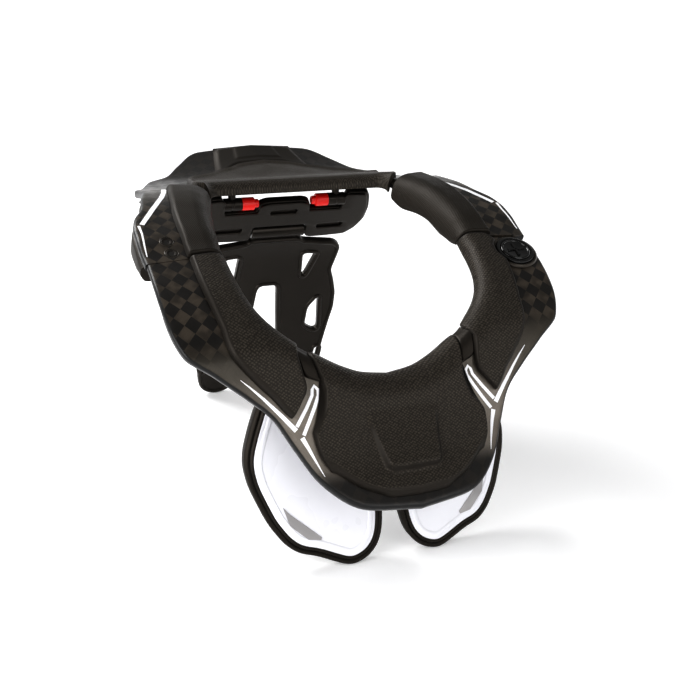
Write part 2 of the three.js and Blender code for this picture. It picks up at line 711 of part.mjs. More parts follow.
// Front and rear shells
function shell(ring, halves) {
  const stations = [
    ...halves.map((at) => ({ side: 'left', at, section: shellSection(ring, at) })),
    ...halves.toReversed().slice(1).map((at) => (
      { side: 'right', at, section: shellSection(ring, at) }
    )),
  ];
  return ringBody(ring, stations);
}
const frontStations = [...spread(0, ROUND_UNTIL, 5), ...spread(0.1, 1, 15)];
const rearStations = spread(0, 1, 21);
const buttonAxis = deck(BUTTON_X, BUTTON_RUN, 1).sub(deck(BUTTON_X, BUTTON_RUN));
const onButton = (up) => deck(BUTTON_X, BUTTON_RUN).addScaledVector(buttonAxis, up);
const buttonHole = BUTTON_RADIUS + TURN_GAP;

function frontShell() {
  const hole = bar(onButton(-SHELL_WALL * 2), onButton(SHELL_WALL), buttonHole, 20);
  return toGeometry(toSolid(shell(front, frontStations)).subtract(toSolid(hole)));
}

// The two recessed screws at the wearer's right, one behind the other on the rear arm
const SCREWS = ['latch_screw_front', 'latch_screw_rear'].map((name, i) => ({
  name,
  x: SCREW_INSET - SCREW_SHIFT * i - FRONT_HALF_WIDTH,
  run: SCREW_RUN + SCREW_PITCH * i,
}));
function rearShell() {
  let solid = toSolid(shell(rear, rearStations));
  SCREWS.forEach(({ x, run }) => {
    const cut = new THREE.CylinderGeometry(
      SCREW_RADIUS + FIT_GAP, SCREW_RADIUS + FIT_GAP, SCREW_DEPTH * 2, 14,
    ).rotateX(Math.PI / 2);
    solid = solid.subtract(toSolid(onDeck(cut, x, run)));
  });
  return toGeometry(solid);
}
function screw(x, run) {
  const height = SCREW_DEPTH - FIT_GAP * 2;
  const head = new THREE.CylinderGeometry(SCREW_RADIUS, SCREW_RADIUS, height, 14)
    .rotateX(Math.PI / 2).translate(0, 0, -FIT_GAP - height / 2);
  const socket = new THREE.CylinderGeometry(SCREW_SOCKET, SCREW_SOCKET, height * 1.2, 6)
    .rotateX(Math.PI / 2);
  return onDeck(toGeometry(toSolid(head).subtract(toSolid(socket))), x, run);
}

// Pads along the arms and on the rear platform
function padRows(rows) {
  const keys = ['from', 'to', 'wrap', 'hang'];
  const columns = Object.fromEntries(keys.map((key) => [key, column(rows, key)]));
  return (at) => Object.fromEntries(keys.map((key) => [key, columns[key](at)]));
}
const frontSidePad = padRows(FRONT_SIDE_PAD);
const rearSidePad = padRows(REAR_SIDE_PAD);
const platformPad = padRows(PLATFORM_PAD);

// Beside the release button the left pad's outer edge bends inwards around the bezel
function clearOfBezel(side, at, pad) {
  if (side === 'right') return pad;
  const width = ringWidth(front, side, at);
  let to = pad.to;
  const reach = BEZEL_RADIUS + BEZEL_GAP;
  while (to > 0.15) {
    const { inner, outer } = front.edges[side](at);
    const x = inner[0] + (outer[0] - inner[0]) * to;
    const run = inner[1] + (outer[1] - inner[1]) * to;
    if (x < BUTTON_X - BEZEL_SIDE && Math.hypot(x - BUTTON_X, run - BUTTON_RUN) > reach) break;
    to -= 0.5 / width;
  }
  return { ...pad, to };
}

function armPad(ring, rows, stations, side) {
  return ringBody(ring, stations.map((at) => {
    const pad = ring === front ? clearOfBezel(side, at, rows(at)) : rows(at);
    return { side, at, section: padSection(ring, at, pad, ringWidth(ring, side, at), [0.4, 0.75]) };
  }));
}
const frontPadStations = [0.003, 0.03, ...spread(0.06, 0.57, 9), 0.6, 0.63, 0.655, 0.663];
const rearPadStations = spread(0.003, 0.49, 10);

function platformPadBody() {
  const half = spread(0.53, 1, 11);
  const between = [0.2, 0.4, 0.6, 0.8];
  const station = (side) => (at) => {
    const width = ringWidth(rear, side, at);
    return { side, at, section: padSection(rear, at, platformPad(at), width, between) };
  };
  return ringBody(rear, [
    ...half.map(station('left')),
    ...half.toReversed().slice(1).map(station('right')),
  ]);
}

// The front pad fans out from the middle: span runs from 1 at its left edge to -1 at its right
const PAD_FAN_WIDTH = 80;
const PAD_FAN_REACH = 0.34;
const SCOOP_HALF = 0.36;
const padSide = curve(FRONT_PAD_SIDE.map((r) => r.share), FRONT_PAD_SIDE.map((r) => r.at));
const padFoot = curve(FRONT_PAD_FOOT.map((r) => r.span), FRONT_PAD_FOOT.map((r) => r.share));
function scoopRise(share) {
  return SCOOP_RISE * smooth((share - 0.25) / 0.5) * smooth((0.86 - share) / 0.06);
}
function frontPadBody() {
  const spans = [1, 0.985, 0.95, ...spread(0.86, 0, 7)];
  const stations = [...spans, ...spans.toReversed().slice(1).map((s) => -s)].map((span) => {
    const reach = Math.abs(span);
    const thin = reach > 0.96 ? 0.3 + (1 - reach) * 17 : 1;
    const inScoop = 1 - smooth((reach - SCOOP_HALF) / 0.1);
    const pad = { from: 0, to: padFoot(reach), wrap: 1, hang: 1 };
    const at = 1 - reach * PAD_FAN_REACH;
    const lift = (share) => inScoop * scoopRise(share);
    const between = [0.2, 0.4, 0.6, 0.8];
    const section = padSection(front, at, pad, PAD_FAN_WIDTH, between, Math.min(1, thin), lift);
    return { side: span < 0 ? 'right' : 'left', at: span, section };
  });
  const place = (ring, side, span, share, across, up) => {
    const reach = Math.abs(span);
    let at = 1 - reach * (1 - padSide(Math.min(0.9, Math.max(0, share))));
    if (share === 0 && across > 0) {
      const real = across / ringWidth(ring, side, at);
      at = 1 - reach * (1 - padSide(Math.min(0.9, real)));
    }
    return ringPlace(ring, side, at, share, across, up);
  };
  const loops = stations.map(({ side, at, section }) => (
    section.map((s) => place(front, side, at, s.share, s.across, s.up))
  ));
  const flat = (section) => section.map((s) => (
    new THREE.Vector2(s.share * PAD_FAN_WIDTH + s.across, s.up)
  ));
  return loft(loops, [flat(stations[0].section), flat(stations[stations.length - 1].section)]);
}

// Foam under each rear arm, which rests on the wearer's shoulder
function shoulderPad(side) {
  const top = column(SHOULDER_PAD, 'top');
  const inner = column(SHOULDER_PAD, 'inner');
  const outer = column(SHOULDER_PAD, 'outer');
  return ringBody(rear, spread(0.03, 0.5, 10).map((at) => {
    const [high, shallow, deep] = [top(at), inner(at), outer(at)];
    return {
      side,
      at,
      section: [
        { share: 0.3, across: 0, up: -high },
        { share: 0.6, across: 0, up: -high },
        { share: 1, across: -5.6, up: -high },
        { share: 1, across: -5.2, up: -RIM_DEPTH - 1.4 },
        { share: 1, across: 0.6, up: -RIM_DEPTH - 1.4 },
        { share: 1, across: 1.6, up: -Math.max(deep * 0.65, RIM_DEPTH + 3) },
        { share: 1, across: -1.5, up: -deep },
        { share: 1, across: -8, up: -deep - 0.6 },
        { share: 0.5, across: 0, up: -(shallow + deep) * 0.5 },
        { share: 0.2, across: 0, up: -shallow },
        { share: 0.13, across: 0, up: -shallow + 1.5 },
      ],
    };
  }));
}

// Raised cap over the spine, on the rear platform
function spineCap() {
  const rows = [
    { run: 0.862, half: 0.293 },
    { run: 0.9, half: 0.299 },
    { run: 0.95, half: 0.272 },
    { run: 0.992, half: 0.245 },
  ];
  const half = column(rows, 'half', 'run');
  const loops = spread(rows[0].run, rows[rows.length - 1].run, 6).map((run, i, all) => {
    const low = i === 0 || i === all.length - 1;
    const top = PAD_GAP + SPINE_CAP_THICKNESS * (low ? 0.55 : 1);
    const width = half(run) * REAR_HALF_WIDTH;
    return [
      [-1, PAD_GAP], [-0.98, top * 0.6], [-0.9, top], [0, top],
      [0.9, top], [0.98, top * 0.6], [1, PAD_GAP], [0, PAD_GAP],
    ].map(([share, up]) => deck(share * width, run * REAR_RUN, up));
  });
  const flat = (loop) => loop.map((p) => new THREE.Vector2(p.x, p.z));
  return loft(loops, [flat(loops[0]), flat(loops[loops.length - 1])]);
}

// Release button: bezel on the shell, cap with a cross slot, and the lug and boss it turns on
function bezel() {
  return onDeck(washer(buttonHole, BEZEL_RADIUS, FIT_GAP, BEZEL_HEIGHT), BUTTON_X, BUTTON_RUN);
}
const BOSS_TOP = -0.7;
function buttonCap() {
  const low = BOSS_TOP + BUTTON_TRAVEL + FIT_GAP;
  const high = low + BUTTON_HEIGHT;
  let cap = toSolid(new THREE.LatheGeometry([
    new THREE.Vector2(0, low),
    new THREE.Vector2(BUTTON_RADIUS, low),
    new THREE.Vector2(BUTTON_RADIUS, high - 1),
    new THREE.Vector2(BUTTON_RADIUS - 1.2, high),
    new THREE.Vector2(0, high),
  ], 20).rotateX(Math.PI / 2));
  [0, 1].forEach((turn) => {
    const slot = new THREE.BoxGeometry(BUTTON_RADIUS, BUTTON_SLOT, 2)
      .rotateZ((turn * Math.PI) / 2).translate(0, 0, high);
    cap = cap.subtract(toSolid(slot));
  });
  return onDeck(toGeometry(cap), BUTTON_X, BUTTON_RUN);
}
function tongueShape(radius, back) {
  const shape = new THREE.Shape();
  shape.absarc(0, 0, radius, Math.PI, 0, false);
  shape.lineTo(radius, back - LUG_CHAMFER);
  shape.lineTo(radius - LUG_CHAMFER, back);
  shape.lineTo(LUG_CHAMFER - radius, back);
  shape.lineTo(-radius, back - LUG_CHAMFER);
  shape.closePath();
  return shape;
}
const lugTop = -SHELL_WALL - LUG_GAP;
function pivotLug() {
  const place = (x, run, up) => deck(BUTTON_X + x, BUTTON_RUN + run, up);
  const plate = bent(tongueShape(LUG_RADIUS, LUG_REACH), lugTop - LUG_THICKNESS, lugTop, 20, place, 5);
  const boss = bar(onButton(lugTop - LUG_THICKNESS / 2), onButton(BOSS_TOP), BUTTON_RADIUS, 20);
  return toGeometry(toSolid(plate).add(toSolid(boss)));
}
function latchTongue() {
  const place = (x, run, up) => deck(-BUTTON_X + x, -BUTTON_RUN - run, up);
  const shape = tongueShape(LUG_RADIUS, LUG_REACH);
  return bent(shape, lugTop - LUG_THICKNESS, lugTop, 20, place, 5);
}

// Upper back plate: down its own slope, and out of its front face
const plateDown = new THREE.Vector3(0, Math.sin(PLATE_LEAN), -Math.cos(PLATE_LEAN));
const plateOut = new THREE.Vector3(0, -Math.cos(PLATE_LEAN), -Math.sin(PLATE_LEAN));
function onPlate(x, down, out) {
  return new THREE.Vector3(x, PLATE_TOP_Y, PLATE_TOP_Z)
    .addScaledVector(plateDown, down).addScaledVector(plateOut, out);
}
const plateNotch = {
  inner: PLATE_OUTLINE[3].x * PLATE_HALF_WIDTH,
  outer: PLATE_OUTLINE[5].x * PLATE_HALF_WIDTH,
};
const hingeNotch = PLATE_OUTLINE[16].x * PLATE_HALF_WIDTH;
const pinMiddle = -PLATE_THICKNESS / 2;
function backPlate() {
  const points = PLATE_OUTLINE.map((r) => (
    new THREE.Vector2(r.x * PLATE_HALF_WIDTH, r.down * PLATE_HEIGHT)
  ));
  const shape = roundedPath(mirrored(points), 3, new THREE.Shape());
  let solid = toSolid(bent(shape, -PLATE_THICKNESS, 0, 400, onPlate, 2));
  const bores = [
    [plateNotch.inner - PIN_SEAT, plateNotch.outer + PIN_SEAT, PIN_DROP, PIN_CORE_RADIUS],
    [-hingeNotch - HINGE_PIN_SEAT, hingeNotch + HINGE_PIN_SEAT, HINGE_DROP, HINGE_PIN_RADIUS],
  ];
  bores.forEach(([from, to, down, radius], i) => {
    const cut = (sign) => bar(
      onPlate(from * sign, down, pinMiddle), onPlate(to * sign, down, pinMiddle), radius + FIT_GAP, 8,
    );
    solid = solid.subtract(toSolid(cut(1)));
    if (i === 0) solid = solid.subtract(toSolid(cut(-1)));
  });
  return toGeometry(solid);
}

// Adjusting pins: a sleeve with the stem that carries it and the core that carries the plate
function pinSleeve(sign) {
  const outer = plateNotch.outer - NOTCH_GAP;
  const split = outer - PIN_LENGTH * PIN_SLEEVE_SHARE;
  const at = (x, up = 0) => onPlate(x * sign, PIN_DROP, pinMiddle).add(new THREE.Vector3(0, 0, up));
  const sleeve = toSolid(bar(at(split), at(outer), PIN_RADIUS, 14));
  const coreEnds = [plateNotch.inner - PIN_SEAT + FIT_GAP, plateNotch.outer + PIN_SEAT - FIT_GAP];
  const core = toSolid(bar(at(coreEnds[0]), at(coreEnds[1]), PIN_CORE_RADIUS, 8));
  const stemX = (split + outer) / 2;
  const foot = at(stemX);
  const roof = deck(stemX, runAt(foot.y), -SHELL_WALL).z - 2 * FIT_GAP;
  const stem = new THREE.BoxGeometry(PIN_STEM, PIN_STEM, roof - foot.z)
    .translate(stemX * sign, foot.y, (roof + foot.z) / 2);
  return toGeometry(sleeve.add(core).add(toSolid(stem)));
}
function pinTip(sign) {
  const outer = plateNotch.outer - NOTCH_GAP;
  const split = outer - PIN_LENGTH * PIN_SLEEVE_SHARE - FIT_GAP;
  const end = outer - PIN_LENGTH;
  const at = (x) => onPlate(x * sign, PIN_DROP, pinMiddle);
  const collar = end + PIN_STEP;
  const tip = toSolid(bar(at(collar), at(split), PIN_RADIUS, 14))
    .add(toSolid(bar(at(end), at(collar + 1), PIN_RADIUS * PIN_STEP_SHARE, 14)));
  const bore = toSolid(bar(at(end - 2), at(split + 2), PIN_CORE_RADIUS + FIT_GAP, 8));
  return toGeometry(tip.subtract(bore));
}
// The run at which the rear surface lies over a y
function runAt(y) {
  let run = 0;
  while (profileY(run) < y) run += 0.5;
  return run;
}

// Hinge pin, and the strut with its barrel
function hingePin() {
  const reach = hingeNotch + HINGE_PIN_SEAT - FIT_GAP;
  const at = (x) => onPlate(x, HINGE_DROP, pinMiddle);
  return bar(at(-reach), at(reach), HINGE_PIN_RADIUS, 12);
}
const hinge = onPlate(0, HINGE_DROP, pinMiddle);
const strutSteps = STRUT_PROFILE.map((r, i, all) => (
  i === 0 ? 0 : Math.hypot(r.back - all[i - 1].back, r.down - all[i - 1].down)
));
const strutRuns = strutSteps.map((_, i) => (
  strutSteps.slice(0, i + 1).reduce((a, b) => a + b, 0)
));
const strutScale = 1 / strutRuns[strutRuns.length - 1];
const strutCurve = (key) => (
  curve(strutRuns.map((r) => r * strutScale), STRUT_PROFILE.map((r) => r[key] * strutScale))
);
const strutBack = strutCurve('back');
const strutFall = strutCurve('down');
function onStrut(x, down, out) {
  const t = down / STRUT_LENGTH;
  const step = 0.01;
  const back = (strutBack(t + step) - strutBack(t - step)) / (2 * step);
  const fall = (strutFall(t + step) - strutFall(t - step)) / (2 * step);
  const size = Math.hypot(back, fall);
  return new THREE.Vector3(
    x,
    hinge.y + strutBack(t) * STRUT_LENGTH - (fall / size) * out,
    hinge.z - strutFall(t) * STRUT_LENGTH - (back / size) * out,
  );
}
function strut() {
  const scaled = (rows) => rows.map((r) => (
    new THREE.Vector2(r.x * STRUT_HALF_WIDTH, r.down * STRUT_LENGTH)
  ));
  const shape = roundedPath(mirrored(scaled(STRUT_OUTLINE)), 3, new THREE.Shape());
  STRUT_HOLES.forEach((rows) => {
    const hole = scaled(rows);
    const other = hole.map((p) => new THREE.Vector2(-p.x, p.y)).toReversed();
    shape.holes.push(roundedPath(hole, 3, new THREE.Path()));
    shape.holes.push(roundedPath(other, 3, new THREE.Path()));
  });
  const half = STRUT_THICKNESS / 2;
  const plate = toSolid(bent(shape, -half, half, 45, onStrut, 1));
  const barrel = toSolid(bar(
    hinge.clone().setX(-BARREL_HALF_LENGTH), hinge.clone().setX(BARREL_HALF_LENGTH), BARREL_RADIUS, 16,
  ));
  const neckHalf = BARREL_HALF_LENGTH - NECK_INSET;
  const neckShape = roundedPath([
    new THREE.Vector2(-neckHalf, NECK_TOP),
    new THREE.Vector2(neckHalf, NECK_TOP),
    new THREE.Vector2(neckHalf, NECK_TOP + NECK_LENGTH),
    new THREE.Vector2(-neckHalf, NECK_TOP + NECK_LENGTH),
  ], 0.5, new THREE.Shape());
  const neck = toSolid(bent(neckShape, -half, half, 100, onStrut, 1));
  const bore = toSolid(bar(
    hinge.clone().setX(-BARREL_HALF_LENGTH - 1), hinge.clone().setX(BARREL_HALF_LENGTH + 1),
    HINGE_PIN_RADIUS + FIT_GAP, 12,
  ));
  return toGeometry(plate.add(barrel).add(neck).subtract(bore));
}

// Chest plates: out is measured straight ahead from the plate's front face
function onChest(x, z, out) {
  return new THREE.Vector3(x, -CHEST_FORWARD + CHEST_SLOPE * z + CHEST_CURVE * x * x - out, z);
}
function chestShape(sign, border) {
  const points = CHEST_OUTLINE.map((r) => (
    new THREE.Vector2(r.x * CHEST_HALF_WIDTH * sign, r.z * CHEST_HEIGHT)
  ));
  const moved = points.map((p, i) => {
    const before = points[(i + points.length - 1) % points.length];
    const after = points[(i + 1) % points.length];
    const along = after.clone().sub(before).normalize();
    return new THREE.Vector2(p.x - along.y * border * sign, p.y + along.x * border * sign);
  });
  return roundedPath(moved, 4, new THREE.Shape());
}
const chestPlate = (sign) => (
  bent(chestShape(sign, -CHEST_FOAM_BORDER), -CHEST_PLATE_WALL, 0, 32, onChest, 1)
);
function chestFoam(sign) {
  const high = -CHEST_PLATE_WALL - FIT_GAP;
  return bent(chestShape(sign, 0), high - CHEST_FOAM_THICKNESS, high, 32, onChest, 1);
}
// Plain block that carries a chest plate from the underside of the front shell
function chestBracket(sign) {
  const ends = [BRACKET_INNER, BRACKET_INNER + BRACKET_WIDTH].map((x) => x * sign);
  const loops = ends.map((x) => [
    deck(x, -BRACKET_LOW, -SHELL_WALL - BRACKET_GAP),
    deck(x, -BRACKET_HIGH, -SHELL_WALL - BRACKET_GAP),
    onChest(x, BRACKET_TOP, BRACKET_GAP),
    onChest(x, BRACKET_TOP - BRACKET_DEPTH, BRACKET_GAP),
  ]);
  const flat = (loop) => loop.map((p) => new THREE.Vector2(p.y, p.z));
  return loft(loops, loops.map(flat));
}

// Assembly
function mesh(name, geometry, finish) {
  const part = new THREE.Mesh(geometry, new THREE.MeshStandardMaterial(FINISH[finish]));
  part.name = name;
  return part;
}
const rearFrame = new THREE.Group();
rearFrame.add(
  mesh('rear_shell', rearShell(), 'carbon'),
  mesh('platform_pad', platformPadBody(), 'foam'),
  mesh('spine_cap', spineCap(), 'carbon'),
  mesh('pivot_lug', pivotLug(), 'plastic'),
  mesh('back_plate', backPlate(), 'plastic'),
  mesh('hinge_pin', hingePin(), 'steel'),
  ...SCREWS.map(({ name, x, run }) => mesh(name, screw(x, run), 'steel')),
);
const frontFrame = new THREE.Group();
frontFrame.add(
  mesh('front_shell', frontShell(), 'carbon'),
  mesh('front_pad', frontPadBody(), 'foam'),
  mesh('button_bezel', bezel(), 'plastic'),
  mesh('latch_tongue', latchTongue(), 'plastic'),
);
['left', 'right'].forEach((side) => {
  const sign = side === 'left' ? 1 : -1;
  rearFrame.add(
    mesh(`rear_pad_${side}`, armPad(rear, rearSidePad, rearPadStations, side), 'foam'),
    mesh(`shoulder_pad_${side}`, shoulderPad(side), 'foam'),
    mesh(`pin_sleeve_${side}`, pinSleeve(sign), 'plastic'),
    mesh(`pin_tip_${side}`, pinTip(sign), 'red'),
  );
  frontFrame.add(
    mesh(`side_pad_${side}`, armPad(front, frontSidePad, frontPadStations, side), 'foam'),
    mesh(`chest_plate_${side}`, chestPlate(sign), 'white'),
    mesh(`chest_foam_${side}`, chestFoam(sign), 'foam'),
    mesh(`chest_bracket_${side}`, chestBracket(sign), 'plastic'),
  );
});
const button = new THREE.Group();
button.add(mesh('release_button', buttonCap(), 'plastic'));
const backStrut = new THREE.Group();
backStrut.add(mesh('back_strut', strut(), 'plastic'));

// The brace stands on its two chest pads and the strut's two feet
function lowest(group, lean) {
  const turn = new THREE.Quaternion().setFromAxisAngle(new THREE.Vector3(1, 0, 0), lean);
  const best = { z: Infinity, y: 0 };
  group.traverse((item) => {
    if (!item.isMesh) return;
    const p = item.geometry.attributes.position;
    for (let i = 0; i < p.count; i += 1) {
      const v = new THREE.Vector3().fromBufferAttribute(p, i).applyQuaternion(turn);
      if (v.z < best.z) Object.assign(best, { z: v.z, y: v.y });
    }
  });
  return best;
}
const brace = new THREE.Group();
brace.add(rearFrame, frontFrame, button, backStrut);
let lean = 0;
for (let round = 0; round < 8; round += 1) {
  const [chest, foot] = [lowest(frontFrame, lean), lowest(backStrut, lean)];
  lean -= Math.atan2(foot.z - chest.z, foot.y - chest.y);
}
brace.rotation.x = lean;
brace.updateMatrixWorld(true);
const box = new THREE.Box3().setFromObject(brace, true);
const middle = box.getCenter(new THREE.Vector3());
brace.position.set(-middle.x, -middle.y, -box.min.z);

const part = new THREE.Group();
part.add(brace);
part.updateMatrixWorld(true);
export default part;
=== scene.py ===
"""Looks of a neck brace for off-road riding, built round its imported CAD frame. Blender 4.5.

Sizes are in millimetres on the brace as it was drawn, level. to_frame() then tips it to the way it
stands and turns it into metres. The ring's pieces are laid out on its upper surface by x and run,
where run is the distance along the side profile from the line where the two halves meet.
"""

import json
import math

import bmesh
import bpy
import numpy as np
from mathutils import Matrix, Vector


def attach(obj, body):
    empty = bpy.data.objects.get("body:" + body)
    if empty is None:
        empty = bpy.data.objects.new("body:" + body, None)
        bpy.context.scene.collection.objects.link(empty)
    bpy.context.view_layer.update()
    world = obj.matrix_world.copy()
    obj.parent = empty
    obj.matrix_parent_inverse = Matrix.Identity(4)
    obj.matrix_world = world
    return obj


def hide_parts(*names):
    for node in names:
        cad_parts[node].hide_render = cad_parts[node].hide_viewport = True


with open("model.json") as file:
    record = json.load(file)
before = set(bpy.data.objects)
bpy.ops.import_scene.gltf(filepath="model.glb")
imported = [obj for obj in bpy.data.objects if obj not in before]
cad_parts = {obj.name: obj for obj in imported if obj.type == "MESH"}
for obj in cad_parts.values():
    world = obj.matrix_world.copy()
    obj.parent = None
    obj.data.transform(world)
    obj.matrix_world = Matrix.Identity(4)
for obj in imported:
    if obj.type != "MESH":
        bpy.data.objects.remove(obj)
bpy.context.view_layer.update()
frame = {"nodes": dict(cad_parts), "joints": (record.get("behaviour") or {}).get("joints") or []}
MM = 0.001

# Ring sizes, as the CAD part has them
FRONT_HALF_WIDTH, REAR_HALF_WIDTH = 145, 147
FRONT_REACH, FRONT_DROP = 131, 143.5
REAR_REACH, REAR_RISE = 249, 45
SPLIT_HEIGHT, SPLIT_GAP = 204.5, 0.6
SADDLE_RISE, SADDLE_HALF_WIDTH, SADDLE_FROM, SADDLE_FADE = 6.2, 104, 0.64, 0.15
SHELL_WALL, RIM_DEPTH = 3.5, 6
PAD_GAP, PAD_THICKNESS = 0.7, 4.5
LIP_WIDTH = 16

# Button, plate, pins, strut and chest plates
BUTTON_X, BUTTON_RUN, BUTTON_RADIUS, BEZEL_RADIUS = 126.5, -20, 11.2, 14.6
CORNER_RADIUS, ROUND_UNTIL = 18.3, 0.06
PLATE_TOP_Y, PLATE_TOP_Z, PLATE_LEAN = 149, 208.8, 0.7045
PLATE_THICKNESS, PLATE_HALF_WIDTH, PLATE_HEIGHT = 9, 79.7, 57
PIN_RADIUS, PIN_LENGTH, PIN_SLEEVE_SHARE, PIN_DROP = 5.5, 30.4, 0.52, -7.5
HINGE_DROP, BARREL_RADIUS, BARREL_HALF_LENGTH = 29.9, 6, 24
STRUT_HALF_WIDTH, STRUT_LENGTH, STRUT_THICKNESS = 70, 191.3, 7
CHEST_HALF_WIDTH, CHEST_HEIGHT = 99, 117
CHEST_WALL, CHEST_FOAM = 2.4, 7
CHEST_FORWARD, CHEST_SLOPE, CHEST_CURVE = 92, 0.32, 0.0008

# Side profile of the ring: reach and drop ahead of the split, reach and rise behind it
FRONT_PROFILE = [
    (1, 1), (0.901, 0.913), (0.821, 0.836), (0.759, 0.76), (0.698, 0.669), (0.644, 0.563),
    (0.592, 0.47), (0.519, 0.348), (0.466, 0.293), (0.374, 0.21), (0.203, 0.098),
]
REAR_PROFILE = [
    (0, 0), (0.04, 0.111), (0.092, 0.278), (0.153, 0.422), (0.197, 0.511), (0.261, 0.622),
    (0.341, 0.7), (0.438, 0.744), (0.474, 0.722), (0.562, 0.667), (0.663, 0.611),
    (0.763, 0.607), (0.815, 0.633), (0.863, 0.7), (0.924, 0.822), (1, 1),
]
# Ring outlines: at, inner x, inner run, outer x, outer run, lip, skirt, rim
RING_KEYS = ("at", "in_x", "in_run", "out_x", "out_run", "lip", "skirt", "rim")
FRONT_RING = [
    (0, 0.641, -0.02, 1, 0.0015, 3, 8, 0.6),
    (0.1, 0.634, 0.066, 0.997, 0.151, 3.5, 9, 0.6),
    (0.2, 0.617, 0.166, 0.984, 0.291, 4, 9, 1),
    (0.3, 0.586, 0.247, 0.941, 0.4, 4.5, 9, 1),
    (0.4, 0.538, 0.31, 0.816, 0.486, 5.5, 10, 1),
    (0.5, 0.476, 0.363, 0.69, 0.568, 6.5, 11, 1),
    (0.6, 0.407, 0.411, 0.589, 0.645, 7.5, 12, 1),
    (0.7, 0.331, 0.453, 0.51, 0.756, 8, 13, 1),
    (0.8, 0.234, 0.499, 0.428, 0.866, 8, 13, 1),
    (0.9, 0.124, 0.531, 0.262, 0.97, 8, 13, 1),
    (1, 0, 0.544, 0, 1, 8, 13, 1),
]
REAR_RING = [
    (0, 0.633, 0.018, 0.993, 0.001, 3, 9, 1),
    (0.08, 0.629, 0.062, 1, 0.07, 5, 14, 1),
    (0.16, 0.619, 0.124, 1, 0.139, 7, 17, 1),
    (0.24, 0.605, 0.193, 0.98, 0.205, 8, 16, 1),
    (0.32, 0.585, 0.263, 0.925, 0.271, 8, 18, 1),
    (0.4, 0.561, 0.333, 0.898, 0.356, 7, 20, 1),
    (0.48, 0.537, 0.391, 0.864, 0.445, 5, 16, 1),
    (0.56, 0.517, 0.433, 0.864, 0.561, 3, 9, 1),
    (0.63, 0.476, 0.458, 0.796, 0.673, 2.5, 8, 1),
    (0.7, 0.395, 0.468, 0.707, 0.805, 2.5, 8, 1),
    (0.78, 0.299, 0.472, 0.599, 0.839, 2.5, 8, 1),
    (0.85, 0.204, 0.474, 0.497, 0.913, 2.5, 8, 1),
    (0.92, 0.095, 0.476, 0.34, 0.992, 2.5, 8, 1),
    (1, 0, 0.476, 0, 1, 2.5, 8, 1),
]
# Pads along the ring: at, from, to, wrap, hang
PAD_KEYS = ("at", "from", "to", "wrap", "hang")
FRONT_SIDE_PAD = [
    (0.003, 0, 0.442, 1, 1), (0.1, 0, 0.45, 1, 1), (0.2, 0, 0.447, 1, 1), (0.3, 0, 0.49, 1, 1),
    (0.4, 0, 0.7, 1, 1), (0.5, 0, 0.79, 1, 1), (0.57, 0, 0.82, 1, 0), (0.59, 0.15, 0.83, 0, 0),
    (0.61, 0.21, 0.835, 0, 0), (0.635, 0.28, 0.82, 0, 0), (0.65, 0.325, 0.8, 0, 0),
    (0.659, 0.355, 0.68, 0, 0), (0.667, 0.4, 0.53, 0, 0), (0.6715, 0.435, 0.465, 0, 0),
]
REAR_SIDE_PAD = [
    (0.003, 0, 0.45, 1, 1), (0.08, 0, 0.45, 1, 1), (0.16, 0, 0.466, 1, 1), (0.24, 0, 0.5, 1, 1),
    (0.32, 0, 0.57, 1, 1), (0.4, 0, 0.59, 1, 1), (0.49, 0, 0.625, 1, 1),
]
PLATFORM_PAD = [
    (0.53, 0, 0.14, 1, 1), (0.56, 0, 0.2, 1, 1), (0.63, 0, 0.3, 1, 1), (0.7, 0, 0.5, 1, 1),
    (0.78, 0, 0.67, 1, 1), (0.85, 0, 0.615, 1, 1), (0.92, 0, 0.62, 1, 1), (0.96, 0, 0.7, 1, 1),
    (1, 0, 0.715, 1, 1),
]
# Front pad: share to at along its side, and span to share along its foot
FRONT_PAD_SIDE = [
    (0, 0.64), (0.1, 0.673), (0.2, 0.708), (0.31, 0.742), (0.45, 0.752), (0.6, 0.741),
    (0.69, 0.737), (0.75, 0.75), (0.82, 0.779), (0.9, 0.845),
]
FRONT_PAD_FOOT = [(0, 0.91), (0.35, 0.925), (0.5, 0.88), (0.75, 0.845), (1, 0.87)]
# Foam under the rear arm: at, depth of its top, of its inner and of its outer underside
SHOULDER_PAD = [
    (0.03, 8.2, 13, 20), (0.14, 8.2, 15, 29), (0.24, 8.2, 15, 30), (0.33, 4.3, 17, 24),
    (0.42, 4.3, 17, 15), (0.5, 4.3, 12, 10.5),
]
# Half outlines, as shares of half width and height or length
CHEST_OUTLINE = [
    (0.82, 1), (0.87, 0.949), (0.934, 0.829), (0.987, 0.709), (1, 0.624), (0.98, 0.513),
    (0.93, 0.402), (0.879, 0.299), (0.788, 0.188), (0.697, 0.128), (0.566, 0.098),
    (0.465, 0.06), (0.364, 0.026), (0.283, 0.028), (0.192, 0.06), (0.121, 0.12),
    (0.081, 0.197), (0.061, 0.308), (0.072, 0.6), (0.24, 0.9), (0.5, 1),
]
PLATE_OUTLINE = [
    (0, -0.17), (0.2, -0.17), (0.27, -0.13), (0.292, -0.07), (0.292, 0.035), (0.683, 0.035),
    (0.683, -0.24), (0.716, -0.3), (0.928, -0.281), (0.964, -0.184), (1, 0.07), (0.992, 0.33),
    (0.927, 0.526), (0.818, 0.66), (0.557, 0.682), (0.368, 0.682), (0.32, 0.61), (0.32, 0.36),
    (0, 0.36),
]
